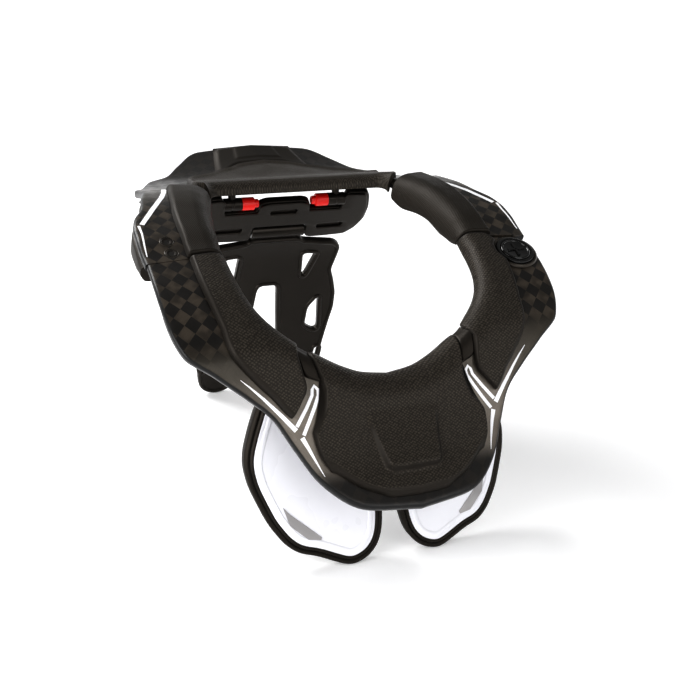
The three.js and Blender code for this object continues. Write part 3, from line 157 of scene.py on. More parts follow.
STRUT_OUTLINE = [
    (0, 0.052), (0.32, 0.052), (0.386, 0.073), (0.829, 0.099), (0.929, 0.131), (0.921, 0.183),
    (0.871, 0.282), (0.929, 0.34), (0.991, 0.426), (1, 0.518), (0.961, 0.596), (0.914, 0.706),
    (0.879, 0.808), (0.871, 0.889), (0.843, 0.946), (0.757, 0.983), (0.614, 1), (0.471, 0.988),
    (0.371, 0.957), (0.314, 0.899), (0.271, 0.836), (0.214, 0.68), (0.171, 0.523),
    (0.136, 0.376), (0.1, 0.35), (0, 0.35),
]
STRUT_HOLES = [
    [(0.429, 0.162), (0.623, 0.17), (0.5, 0.303), (0.457, 0.303)],
    [(0.753, 0.444), (0.623, 0.507), (0.604, 0.617), (0.739, 0.651), (0.799, 0.646)],
    [(0.8, 0.768), (0.86, 0.768), (0.84, 0.847), (0.78, 0.847)],
]
STRUT_PROFILE = [
    (0, 0), (0.105, 0.144), (0.185, 0.302), (0.246, 0.441), (0.354, 0.729), (0.428, 0.906),
]


# Curves
def curve(rows):
    """Monotone cubic through (knot, value) rows."""
    knots = [float(r[0]) for r in rows]
    values = [float(r[1]) for r in rows]
    last = len(knots) - 1
    secants = [(values[i + 1] - values[i]) / (knots[i + 1] - knots[i]) for i in range(last)]
    slopes = [secants[0]]
    for before, after in zip(secants, secants[1:]):
        slopes.append(0 if before * after <= 0 else 2 * before * after / (before + after))
    slopes.append(secants[-1])

    def at(t):
        i = 0
        while i < last - 1 and t > knots[i + 1]:
            i += 1
        span = knots[i + 1] - knots[i]
        u = (t - knots[i]) / span
        h = u * u * (3 - 2 * u)
        bend = span * u * (1 - u) * (slopes[i] * (1 - u) - slopes[i + 1] * u)
        return values[i] * (1 - h) + values[i + 1] * h + bend

    return at


def smooth(t):
    u = min(1, max(0, t))
    return u * u * (3 - 2 * u)


def spread(start, end, count):
    return [start + (end - start) * i / count for i in range(count + 1)]


def columns(rows, keys):
    """One curve for each named column of a table whose first column is the place."""
    return {key: curve([(r[0], r[i]) for r in rows]) for i, key in enumerate(keys) if i}


# The ring's upper surface
profile = [(-reach * FRONT_REACH, SPLIT_HEIGHT - drop * FRONT_DROP) for reach, drop in FRONT_PROFILE]
profile += [(reach * REAR_REACH, SPLIT_HEIGHT + rise * REAR_RISE) for reach, rise in REAR_PROFILE]
lengths = [0]
for a, b in zip(profile, profile[1:]):
    lengths.append(lengths[-1] + math.dist(a, b))
FRONT_RUN = lengths[len(FRONT_PROFILE)]
REAR_RUN = lengths[-1] - FRONT_RUN
profile_y = curve([(length - FRONT_RUN, p[0]) for length, p in zip(lengths, profile)])
profile_z = curve([(length - FRONT_RUN, p[1]) for length, p in zip(lengths, profile)])


def deck(x, run, up=0.0):
    """Point over the ring's surface at x and run, up millimetres along its normal."""
    step = 0.5
    dy = profile_y(run + step) - profile_y(run - step)
    dz = profile_z(run + step) - profile_z(run - step)
    size = math.hypot(dy, dz)
    saddle = SADDLE_RISE * max(0, 1 - abs(x) / SADDLE_HALF_WIDTH)
    lift = saddle * smooth((run / REAR_RUN - SADDLE_FROM) / SADDLE_FADE)
    return Vector((x, profile_y(run) - dz / size * up, profile_z(run) + lift + dy / size * up))


def run_at(y):
    """The run at which the rear surface lies over a y."""
    run = 0
    while profile_y(run) < y:
        run += 0.5
    return run


# The back plate's, the strut's and the chest plates' own surfaces
PLATE_DOWN = Vector((0, math.sin(PLATE_LEAN), -math.cos(PLATE_LEAN)))
PLATE_OUT = Vector((0, -math.cos(PLATE_LEAN), -math.sin(PLATE_LEAN)))


def on_plate(x, down, out):
    return Vector((x, PLATE_TOP_Y, PLATE_TOP_Z)) + PLATE_DOWN * down + PLATE_OUT * out


hinge = on_plate(0, HINGE_DROP, -PLATE_THICKNESS / 2)
strut_lengths = [0]
for a, b in zip(STRUT_PROFILE, STRUT_PROFILE[1:]):
    strut_lengths.append(strut_lengths[-1] + math.dist(a, b))
strut_back = curve([(s / strut_lengths[-1], p[0] / strut_lengths[-1])
                    for s, p in zip(strut_lengths, STRUT_PROFILE)])
strut_fall = curve([(s / strut_lengths[-1], p[1] / strut_lengths[-1])
                    for s, p in zip(strut_lengths, STRUT_PROFILE)])


def on_strut(x, down, out):
    t, step = down / STRUT_LENGTH, 0.01
    back = strut_back(t + step) - strut_back(t - step)
    fall = strut_fall(t + step) - strut_fall(t - step)
    size = math.hypot(back, fall)
    return Vector((
        x,
        hinge.y + strut_back(t) * STRUT_LENGTH - fall / size * out,
        hinge.z - strut_fall(t) * STRUT_LENGTH - back / size * out,
    ))


def on_chest(x, z, out):
    return Vector((x, -CHEST_FORWARD + CHEST_SLOPE * z + CHEST_CURVE * x * x - out, z))


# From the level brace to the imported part: the two hinges give its lean and its place
places = {j["name"]: Vector(j["pos_m"]) / MM for j in frame["joints"] if "pos_m" in j}
drawn = hinge - deck(BUTTON_X, BUTTON_RUN)
stands = places["strut_hinge"] - places["frame_hinge"]
LEAN = math.atan2(stands.z, stands.y) - math.atan2(drawn.z, drawn.y)
TILT = Matrix.Rotation(LEAN, 3, "X")
SHIFT = places["frame_hinge"] - TILT @ deck(BUTTON_X, BUTTON_RUN)


def to_frame(point):
    return (TILT @ Vector(point) + SHIFT) * MM


# Ring chart
def ring_of(rows, half_width, run):
    table = columns(rows, RING_KEYS)

    def edges(at):
        return (
            (table["in_x"](at) * half_width, table["in_run"](at) * run),
            (table["out_x"](at) * half_width, table["out_run"](at) * run),
        )

    return {"table": table, "left": edges, "right": edges}


front = ring_of(FRONT_RING, FRONT_HALF_WIDTH, -FRONT_RUN)
rear = ring_of(REAR_RING, REAR_HALF_WIDTH, REAR_RUN)


def pivot_edges(at):
    """The front ring's edges at the wearer's left, its corner rounded about the button."""
    inner, outer = front["right"](at)
    if at < ROUND_UNTIL:
        turn = math.pi / 2 * (1 - at / ROUND_UNTIL)
        run = BUTTON_RUN + CORNER_RADIUS * math.sin(turn)
        outer = (BUTTON_X + CORNER_RADIUS * math.cos(turn), min(run, -SPLIT_GAP / 2))
    return inner, outer


front["left"] = pivot_edges


def ring_width(ring, side, at):
    return math.dist(*ring[side](at))


def ring_flat(ring, side, at, along):
    """x and run at a distance along the line from the inner to the outer edge."""
    inner, outer = ring[side](at)
    u = along / math.dist(inner, outer)
    x = inner[0] + (outer[0] - inner[0]) * u
    run = inner[1] + (outer[1] - inner[1]) * u
    return (x if side == "left" else -x), run


def both_sides(ats):
    """Stations from the start of the wearer's left over the middle to the right."""
    return [("left", at) for at in ats] + [("right", at) for at in reversed(ats[:-1])]


# Mesh building; an edge distance this great means that the material shows no border
NO_EDGE = 99.0
SIGNS = {"left": 1, "right": -1}


class Body:
    """Vertices, faces and what the material reads at each vertex: chart, edge distance, mask."""

    def __init__(self):
        self.points, self.faces = [], []
        self.flat, self.edge, self.mask = [], [], []

    def add(self, point, flat=(0, 0, 0), edge=NO_EDGE, mask=0.0):
        self.points.append(point)
        self.flat.append(flat)
        self.edge.append(edge)
        self.mask.append(mask)

    def loops(self, rows, caps=True):
        """Adds closed rows of as many points each, the faces between them and end caps."""
        count, first = len(rows[0]), len(self.points)
        for row in rows:
            for values in row:
                self.add(*values)
        for i in range(len(rows) - 1):
            for j in range(count):
                a, b = first + i * count + j, first + i * count + (j + 1) % count
                self.faces.append((a, b, b + count, a + count))
        if caps:
            last = first + (len(rows) - 1) * count
            self.faces.append(tuple(range(first, first + count))[::-1])
            self.faces.append(tuple(range(last, last + count)))


def ring_body(ring, stations, section):
    """Body along a ring; section(side, at, width) gives rows of along, up, edge and mask."""
    rows = []
    for side, at in stations:
        row = []
        for s, up, *rest in section(side, at, ring_width(ring, side, at)):
            x, run = ring_flat(ring, side, at, s)
            row.append((deck(x, run, up), (x, run, up), *rest))
        rows.append(row)
    body = Body()
    body.loops(rows)
    return body


def object_of(name, mesh, finish, sharp=None):
    """Welds a mesh, turns its faces outwards, smooths it and links it as an object."""
    work = bmesh.new()
    work.from_mesh(mesh)
    bmesh.ops.remove_doubles(work, verts=work.verts, dist=0.01 * MM)
    bmesh.ops.recalc_face_normals(work, faces=work.faces)
    work.to_mesh(mesh)
    work.free()
    mesh.polygons.foreach_set("use_smooth", [True] * len(mesh.polygons))
    if sharp:
        mesh.set_sharp_from_angle(angle=math.radians(sharp))
    mesh.materials.append(finish)
    made = bpy.data.objects.new(name, mesh)
    bpy.context.scene.collection.objects.link(made)
    return made


def build(name, body, finish, body_name, nodes=(), sharp=38):
    """Piece from a Body, with its material, its CAD body and the nodes that it stands for."""
    mesh = bpy.data.meshes.new(name)
    mesh.from_pydata([tuple(to_frame(p)) for p in body.points], [], body.faces)
    flat = mesh.attributes.new("flat", "FLOAT_VECTOR", "POINT")
    flat.data.foreach_set("vector", np.array(body.flat, np.float32).ravel())
    for key, values in (("edge", body.edge), ("mask", body.mask)):
        mesh.attributes.new(key, "FLOAT", "POINT").data.foreach_set(
            "value", np.array(values, np.float32))
    piece = object_of(name, mesh, finish, sharp)
    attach(piece, body_name)
    if nodes:
        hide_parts(*nodes)


def rounded(points, radius, steps=4, parts=1):
    """Closed outline with rounded corners; parts splits each straight stretch."""
    made, count = [], len(points)
    for i, p in enumerate(points):
        before, after = points[i - 1], points[(i + 1) % count]
        reach = [min(0.45, radius / max(1e-6, math.dist(p, q))) for q in (before, after)]
        start = [p[k] + (before[k] - p[k]) * reach[0] for k in (0, 1)]
        end = [p[k] + (after[k] - p[k]) * reach[1] for k in (0, 1)]
        goal = [after[k] + (p[k] - after[k]) * reach[1] for k in (0, 1)]
        made += [tuple(start[k] * (1 - t) ** 2 + 2 * p[k] * t * (1 - t) + end[k] * t * t
                       for k in (0, 1)) for t in spread(0, 1, steps)]
        made += [tuple(end[k] * (1 - t) + goal[k] * t for k in (0, 1))
                 for t in spread(0, 1, parts)[1:-1]]
    return made


def inset(points, distance):
    """The outline moved inwards, or outwards for a distance below 0; either way round."""
    area = sum(a[0] * b[1] - b[0] * a[1] for a, b in zip(points, points[1:] + points[:1]))
    made = []
    for i, p in enumerate(points):
        before, after = points[i - 1], points[(i + 1) % len(points)]
        along = Vector((after[0] - before[0], after[1] - before[1]))
        if along.length > 1e-6:
            along *= math.copysign(1, area) * distance / along.length
            made.append((p[0] - along.y, p[1] + along.x))
    return made


def mirrored(points):
    return [*points, *[(-x, y) for x, y in reversed(points) if x > 1e-6]]


def slab(body, outline, holes, low, high, bevel, place, step):
    """A flat outline with holes, given thickness and rounded edges, bent onto a surface."""
    data = bpy.data.curves.new("outline", "CURVE")
    data.dimensions, data.fill_mode = "2D", "BOTH"
    data.extrude = (high - low) / 2 - bevel
    data.bevel_depth, data.bevel_resolution, data.offset = bevel, 2, -bevel
    for ring in (outline, *holes):
        spline = data.splines.new("POLY")
        spline.points.add(len(ring) - 1)
        spline.use_cyclic_u = True
        for point, (x, y) in zip(spline.points, ring):
            point.co = (x, y, 0, 1)
    holder = bpy.data.objects.new("outline", data)
    mesh = bpy.data.meshes.new_from_object(holder)
    work = bmesh.new()
    work.from_mesh(mesh)
    bmesh.ops.remove_doubles(work, verts=work.verts, dist=1e-4)
    xs, ys = [p[0] for p in outline], [p[1] for p in outline]
    for axis, values in ((0, xs), (1, ys)):
        at = min(values) + step
        while at < max(values):
            point, normal = [0, 0, 0], [0, 0, 0]
            point[axis], normal[axis] = at, 1
            everything = work.verts[:] + work.edges[:] + work.faces[:]
            bmesh.ops.bisect_plane(work, geom=everything, plane_co=point, plane_no=normal)
            at += step
    first = len(body.points)
    work.verts.index_update()
    middle = (low + high) / 2
    for v in work.verts:
        body.add(place(v.co.x, v.co.y, v.co.z + middle), (v.co.x, v.co.y, v.co.z))
    for f in work.faces:
        body.faces.append(tuple(v.index + first for v in f.verts))
    work.free()
    bpy.data.objects.remove(holder)
    bpy.data.meshes.remove(mesh)


def bead(body, path, radius, place, squash=1.0, sides=8):
    """A round bead along a closed path on a surface; each path point is (x, y, height)."""
    rows = []
    for i, (x, y, up) in enumerate(path):
        before, after = path[i - 1], path[(i + 1) % len(path)]
        along = Vector((after[0] - before[0], after[1] - before[1])).normalized()
        row = []
        for k in range(sides):
            turn = 2 * math.pi * k / sides
            out, rise = math.cos(turn) * radius, math.sin(turn) * radius * squash
            row.append((place(x - along.y * out, y + along.x * out, up + rise), (x, y, rise)))
        rows.append(row)
    body.loops([*rows, rows[0]], caps=False)


def lathe(body, outline, origin, axis, sides):
    """A body of revolution: outline is (radius, height), and is a ring where it ends as it began."""
    axis = Vector(axis).normalized()
    side = axis.orthogonal().normalized()
    other = axis.cross(side)
    rows = []
    for radius, height in outline:
        row = []
        for k in range(sides):
            turn = 2 * math.pi * k / sides
            off = side * math.cos(turn) * radius + other * math.sin(turn) * radius
            flat = (math.cos(turn) * radius, math.sin(turn) * radius, height)
            row.append((Vector(origin) + off + axis * height, flat))
        rows.append(row)
    body.loops(rows, caps=outline[0] != outline[-1] and max(outline[0][0], outline[-1][0]) > 0)


def turned(name, outline, origin, axis, sides, finish, body_name, nodes=()):
    """A piece that is one body of revolution."""
    body = Body()
    lathe(body, outline, origin, axis, sides)
    build(name, body, finish, body_name, nodes, sharp=30)


# Materials
class Nodes:
    """Short names for the node tree of one material."""

    def __init__(self, name, **sockets):
        self.material = bpy.data.materials.new(name)
        self.material.use_nodes = True
        self.tree = self.material.node_tree
        self.shader = self.tree.nodes["Principled BSDF"]
        for key, value in sockets.items():
            self.shader.inputs[key.replace("_", " ").title()
                               .replace("Ior", "IOR")].default_value = value

    def node(self, kind, inputs=None, **settings):
        made = self.tree.nodes.new("ShaderNode" + kind)
        for key, value in settings.items():
            setattr(made, key, value)
        for key, value in (inputs or {}).items():
            self.set(made.inputs[key], value)
        return made

    def set(self, socket, value):
        if isinstance(value, bpy.types.NodeSocket):
            self.tree.links.new(value, socket)
        else:
            socket.default_value = value

    def attribute(self, name, output="Fac"):
        return self.node("Attribute", attribute_name=name).outputs[output]

    def math(self, operation, a, b):
        return self.node("Math", {0: a, 1: b}, operation=operation).outputs[0]

    def ramp(self, value, low, high, start=0.0, end=1.0):
        return self.node("MapRange", {"Value": value, "From Min": low, "From Max": high,
                                      "To Min": start, "To Max": end},
                         interpolation_type="SMOOTHSTEP").outputs[0]

    def mix(self, share, a, b):
        return self.node("Mix", {0: share, 6: a, 7: b}, data_type="RGBA").outputs[2]

    def mapped(self, vector, scale=(1, 1, 1), turn=0.0, move=(0, 0, 0)):
        return self.node("Mapping", {"Vector": vector, "Scale": scale, "Location": move,
                                     "Rotation": (0, 0, turn)}).outputs[0]

    def noise(self, vector, scale, detail=2.0):
        return self.node("TexNoise", {"Vector": vector, "Scale": scale,
                                      "Detail": detail}).outputs[0]

    def bump(self, height, depth, strength):
        made = self.node("Bump", {"Height": height, "Distance": depth, "Strength": strength})
        self.set(self.shader.inputs["Normal"], made.outputs[0])

    def place(self):
        return self.node("TexCoord").outputs["Object"]


# The chequer's cells are rhombi; these are their diagonals across and along the arm
CHEQUER_ACROSS, CHEQUER_ALONG = 11.4, 13.4
CHEQUER_START = (-132.2, -18.1)
CHEQUER_SCALE = (math.sqrt(2) / CHEQUER_ACROSS, math.sqrt(2) / CHEQUER_ALONG)


def chequer_move():
    """Where the tapes' grid starts, so that a crossing falls on CHEQUER_START."""
    x, run = (value * scale for value, scale in zip(CHEQUER_START, CHEQUER_SCALE))
    c = math.cos(math.pi / 4)
    u, v = x * c - run * c, x * c + run * c
    return (math.ceil(u) - u, math.ceil(v) - v, 0.5)


CHEQUER_MOVE = chequer_move()
# Distances from a piece's edge over which its border gives way to the pattern
RIM_BORDER, FOAM_BORDER, WEAVE_BORDER = (1.4, 2.3), (3.2, 4.4), (2.6, 3.6)
# Tones of the laminate, each from its dark patches to its light ones or from tape to tape
DARK_TAPES = (0.008, 0.007, 0.006, 1), (0.013, 0.011, 0.0095, 1)
LIGHT_TAPES = (0.030, 0.024, 0.018, 1), (0.066, 0.053, 0.040, 1)
# Darker tapes: painted shade at the front shell's foot, also used at the rear wing
FOOT_SHADE_AND_WING_TAPES = (0.007, 0.006, 0.005, 1), (0.014, 0.0115, 0.009, 1)
PLAIN = (0.135, 0.117, 0.098, 1), (0.190, 0.168, 0.144, 1)
# The second plain tone is painted shade, the silver darkened up the arm; the fibre tone is the
# laminate's own
PLAIN_SHADED, FIBRE_TONE = (0.050, 0.043, 0.033, 1), (0.02, 0.017, 0.014, 1)
RIM_TONE = (0.004, 0.0038, 0.0035, 1)
# Runs between which the plain silver darkens up the arm as painted shade, the foot's tapes darken as
# painted shade, and the rear wing's tapes turn darker and faint
PLAIN_SHADE_RUNS, FOOT_SHADE_RUNS, WING_RUNS = (-138, -88), (-176, -162), (150, 178)


def carbon():
    """Satin laminate: slantwise chequer of wide tapes, silver where it is plain, dark at the rim;
    painted shade darkens the silver up the arm and the tapes at the foot.
    """
    n = Nodes("carbon_laminate", coat_weight=0.15, coat_roughness=0.15, specular_ior_level=0.3)
    flat = n.attribute("flat", "Vector")
    mask, edge = n.attribute("mask"), n.attribute("edge")
    run = n.node("SeparateXYZ", {"Vector": flat}).outputs["Y"]
    tapes = n.mapped(flat, scale=(CHEQUER_SCALE[0], CHEQUER_SCALE[1], 0), turn=math.pi / 4,
                     move=CHEQUER_MOVE)
    chequer = n.node("TexChecker", {"Vector": tapes, "Scale": 1.0}).outputs["Fac"]
    grain_a = n.noise(n.mapped(tapes, scale=(60, 2, 1)), 1.0)
    grain_b = n.noise(n.mapped(tapes, scale=(2, 60, 1)), 1.0)
    cloud = n.noise(flat, 0.05)
    patch = n.noise(flat, 0.11, 1.0)
    fibre = n.math("ADD", n.math("MULTIPLY", chequer, grain_a),
                   n.math("MULTIPLY", n.math("SUBTRACT", 1.0, chequer), grain_b))
    light = n.mix(n.ramp(patch, 0.35, 0.65), *LIGHT_TAPES)
    dark = n.mix(n.ramp(cloud, 0.3, 0.7), *DARK_TAPES)
    plain = n.mix(n.ramp(cloud, 0.3, 0.7), *PLAIN)
    # Painted shade: the plain silver darkens towards the upper arm
    plain = n.mix(n.ramp(run, *PLAIN_SHADE_RUNS), plain, PLAIN_SHADED)
    tone = n.mix(n.ramp(mask, 0.0, 0.8), plain, n.mix(chequer, dark, light))
    # Painted shade: darker, unmetallic tapes at the front shell's foot; the rear wing gets the same
    # darker tapes
    foot = n.math("MAXIMUM", n.ramp(run, *FOOT_SHADE_RUNS, 1.0, 0.0), n.ramp(run, *WING_RUNS))
    tone = n.mix(foot, tone, n.mix(chequer, *FOOT_SHADE_AND_WING_TAPES))
    tone = n.mix(n.math("MULTIPLY", n.ramp(fibre, 0.3, 0.7), 0.25), tone, FIBRE_TONE)
    rim = n.ramp(edge, *RIM_BORDER)
    n.set(n.shader.inputs["Base Color"], n.mix(rim, RIM_TONE, tone))
    n.set(n.shader.inputs["Roughness"],
          n.math("ADD", n.ramp(cloud, 0.3, 0.7, 0.28, 0.38), n.ramp(chequer, 0.0, 1.0, 0.06, 0.0)))
    n.set(n.shader.inputs["Metallic"],
          n.math("MULTIPLY", n.math("MULTIPLY", rim, n.math("SUBTRACT", 1.0, foot)),
                 n.ramp(mask, 0.0, 0.8, 0.55, 0.2)))
    n.bump(fibre, 0.05 * MM, 0.5)
    return n.material


# Tints of the gloss, and the foam's tones; the pebble and weave tops carry a painted highlight
WARM, NEUTRAL = (1.0, 0.87, 0.74, 1), (1, 1, 1, 1)
FOAM_LOW, FOAM_HIGH = (0.0100, 0.0085, 0.0070, 1), (0.0150, 0.01275, 0.0105, 1)
FOAM_TOP_HIGHLIGHT = (0.050, 0.043, 0.034, 1)
WEAVE_LOW, WEAVE_HIGH = (0.0075, 0.0064, 0.0050, 1), (0.0115, 0.0098, 0.0078, 1)
WEAVE_TOP_HIGHLIGHT = (0.020, 0.0170, 0.0135, 1)


def foam(name, pitch):
    """Moulded foam skin: staggered rows of small oval pebbles inside a smooth border, their tops
    painted lighter as a painted highlight.
    """
    n = Nodes(name, coat_weight=0.08, coat_roughness=0.3, specular_ior_level=0.22,
              specular_tint=WARM)
    flat = n.attribute("flat", "Vector")
    edge = n.attribute("edge")
    drift = n.noise(flat, 0.06, 1.0)
    wander = n.node("VectorMath", {0: flat, 1: n.node("CombineXYZ", {"X": drift, "Y": drift})
                                   .outputs[0]}, operation="ADD").outputs[0]
    rows = n.mapped(wander, scale=(0.84 / pitch, 1.06 / pitch, 0), turn=math.pi / 4)
    cells = n.node("TexVoronoi", {"Vector": rows, "Scale": 1.0, "Randomness": 0.28},
                   feature="F1").outputs["Distance"]
    field = n.ramp(edge, *FOAM_BORDER)
    height = n.math("MULTIPLY", n.ramp(cells, 0.12, 0.56, 1.0, 0.0), field)
    cloud = n.noise(flat, 0.04)
    # Painted highlight: the pebble tops are coloured lighter
    n.set(n.shader.inputs["Base Color"],
          n.mix(height, n.mix(cloud, FOAM_LOW, FOAM_HIGH), FOAM_TOP_HIGHLIGHT))
    n.set(n.shader.inputs["Roughness"],
          n.math("ADD", n.ramp(height, 0, 1, 0.48, 0.40), n.ramp(cloud, 0.3, 0.7, -0.04, 0.06)))
    grain = n.noise(flat, 3.5)
    both = n.math("ADD", height, n.math("MULTIPLY", grain, 0.12))
    n.bump(both, 0.30 * MM, 0.8)
    return n.material


def woven(pitch):
    """Foam covered with a fine slanting weave, its raised threads painted lighter as a painted
    highlight.
    """
    n = Nodes("woven_foam", coat_weight=0.05, coat_roughness=0.35,
              specular_ior_level=0.22, specular_tint=WARM)
    flat = n.attribute("flat", "Vector")
    edge = n.attribute("edge")
    lines = []
    for turn, share in ((math.radians(38), 1.0), (math.radians(-52), 0.55)):
        wave = n.node("TexWave", {"Vector": n.mapped(flat, scale=(1 / pitch,) * 3, turn=turn),
                                  "Scale": 0.32, "Distortion": 0.25, "Detail": 1.0})
        lines.append(n.math("MULTIPLY", wave.outputs["Fac"], share))
    field = n.ramp(edge, *WEAVE_BORDER)
    height = n.math("MULTIPLY", n.math("ADD", *lines), field)
    cloud = n.noise(flat, 0.04)
    low = n.mix(cloud, WEAVE_LOW, WEAVE_HIGH)
    # Painted highlight: the raised threads are coloured lighter
    n.set(n.shader.inputs["Base Color"], n.mix(n.math("MULTIPLY", height, 0.6), low, WEAVE_TOP_HIGHLIGHT))
    n.set(n.shader.inputs["Roughness"], n.ramp(cloud, 0.3, 0.7, 0.44, 0.56))
    n.bump(height, 0.16 * MM, 0.7)
    return n.material


def plastic(name, colour, roughness, texture, coat=0.0, shine=0.5, change=1.25, tint=NEUTRAL):
    """Moulded plastic with a fine spark texture and slightly worn tone."""
    n = Nodes(name, coat_weight=coat, coat_roughness=0.1, specular_ior_level=shine,
              specular_tint=tint)
    place = n.place()
    cloud = n.noise(place, 22.0, 3.0)
    fine = n.noise(place, 2600.0)
    lighter = [min(1.0, c * change) for c in colour]
    n.set(n.shader.inputs["Base Color"],
          n.mix(n.ramp(cloud, 0.35, 0.7), (*colour, 1), (*lighter, 1)))
    n.set(n.shader.inputs["Roughness"],
          n.ramp(cloud, 0.3, 0.7, roughness - 0.05, roughness + 0.06))
    n.bump(fine, 0.05 * MM, texture)
    return n.material


def metal(name, colour, roughness):
    n = Nodes(name, metallic=1.0)
    place = n.place()
    marks = n.noise(n.mapped(place, scale=(400, 400, 30)), 2.0, 3.0)
    n.set(n.shader.inputs["Base Color"],
          n.mix(marks, (*colour, 1), (*[c * 1.3 for c in colour], 1)))
    n.set(n.shader.inputs["Roughness"], n.ramp(marks, 0.3, 0.7, roughness, roughness + 0.12))
    n.bump(marks, 0.02 * MM, 0.4)
    return n.material


CARBON = carbon()
PEBBLED = foam("pebbled_foam", 1.75)
RIDGED = foam("ridged_foam", 1.3)
WOVEN = woven(1.25)
SMOOTH_RUBBER = plastic("smooth_rubber", (0.0080, 0.0068, 0.0055), 0.46, 0.4, shine=0.3, tint=WARM)
BLACK = plastic("black_plastic", (0.0060, 0.0051, 0.0042), 0.34, 0.35, 0.08, shine=0.3, tint=WARM)
GLOSS_BLACK = plastic("gloss_black", (0.0025, 0.0023, 0.0020), 0.16, 0.05, 0.3, shine=0.3)
SCREW_BLACK = plastic("screw_black", (0.0040, 0.0035, 0.0030), 0.45, 0.2, shine=0.3, tint=WARM)
CHEST_FOAM_SKIN = plastic("chest_foam_skin", (0.0060, 0.0053, 0.0046), 0.5, 0.8, shine=0.3,
                          tint=WARM)
WHITE = plastic("white_plastic", (0.82, 0.82, 0.86), 0.3, 0.08, 0.15, change=1.03)
RED = plastic("red_plastic", (0.72, 0.010, 0.006), 0.32, 0.15, 0.1)
STEEL = metal("dark_steel", (0.10, 0.095, 0.09), 0.3)
DECAL = plastic("white_decal", (0.90, 0.90, 0.92), 0.34, 0.05, change=1.02)
GREY_DECAL = plastic("grey_decal", (0.30, 0.29, 0.29), 0.4, 0.05, change=1.6)
COLLAR = plastic("collar_satin", (0.016, 0.0135, 0.0105), 0.3, 0.2, 0.15, shine=0.4, tint=WARM)


# Shells
LIP_ROLL = curve([(0, 1.15), (1.5, 1), (5, 0.45), (10, 0.12), (LIP_WIDTH, 0)])


def shell_section(ring, at, width):
    lip = ring["table"]["lip"](at)
    deep = SHELL_WALL + (RIM_DEPTH - SHELL_WALL) * smooth((ring["table"]["rim"](at) - 0.6) / 0.4)
    rolled = (1.5, 3, 5, 7.5, 10, 13, LIP_WIDTH)
    flat = spread(LIP_WIDTH, width - 4.5, 8)[1:]
    top = [(s, -lip * LIP_ROLL(s)) for s in rolled] + [(s, 0) for s in flat]
    rim = [(width - 2.4, 0), (width - 1.3, -0.25), (width - 0.5, -0.9), (width - 0.1, -1.9),
           (width, -3), (width - 0.2, -deep + 0.7), (width - 0.9, -deep), (width - 3, -deep),
           (width - 4.5, -SHELL_WALL)]
    under = [(s, -SHELL_WALL) for s in reversed(flat[:-1])]
    under += [(s + 1.5, -SHELL_WALL - lip * LIP_ROLL(s + 1)) for s in reversed(rolled)]
    under += [(1.5, -SHELL_WALL - lip)]
    return top + rim + under


# Run where the laminate's chequer starts to fade in or out, and the length of the fade
FRONT_FADE, ARM_FADE, WING_FADE, WING_SHARE = (-96, 34), (62, 40), (150, 25), 0.62


def weave_mask(run):
    """Where the laminate's chequer shows: on the arms, and faintly at the rear wing."""
    begin, length = FRONT_FADE
    if run < 0:
        return smooth((run - begin) / length)
    arm, wing = (smooth((run - begin) / length) for begin, length in (ARM_FADE, WING_FADE))
    return max(1 - arm, WING_SHARE * wing)


def shell_piece(node, ring, body_name, stations):
    def section(side, at, width):
        return [(s, up, width - s if up > -3.2 else 0.0,
                 weave_mask(ring_flat(ring, side, at, s)[1]))
                for s, up in shell_section(ring, at, width)]

    build(f"{node}_laminate", ring_body(ring, both_sides(stations), section), CARBON, body_name,
          [node], sharp=50)


front_stations = spread(0, ROUND_UNTIL, 14)[:-1] + spread(ROUND_UNTIL, 1, 90)
shell_piece("front_shell", front, "front_frame", front_stations)
shell_piece("rear_shell", rear, "rear_frame", spread(0, 1, 110))


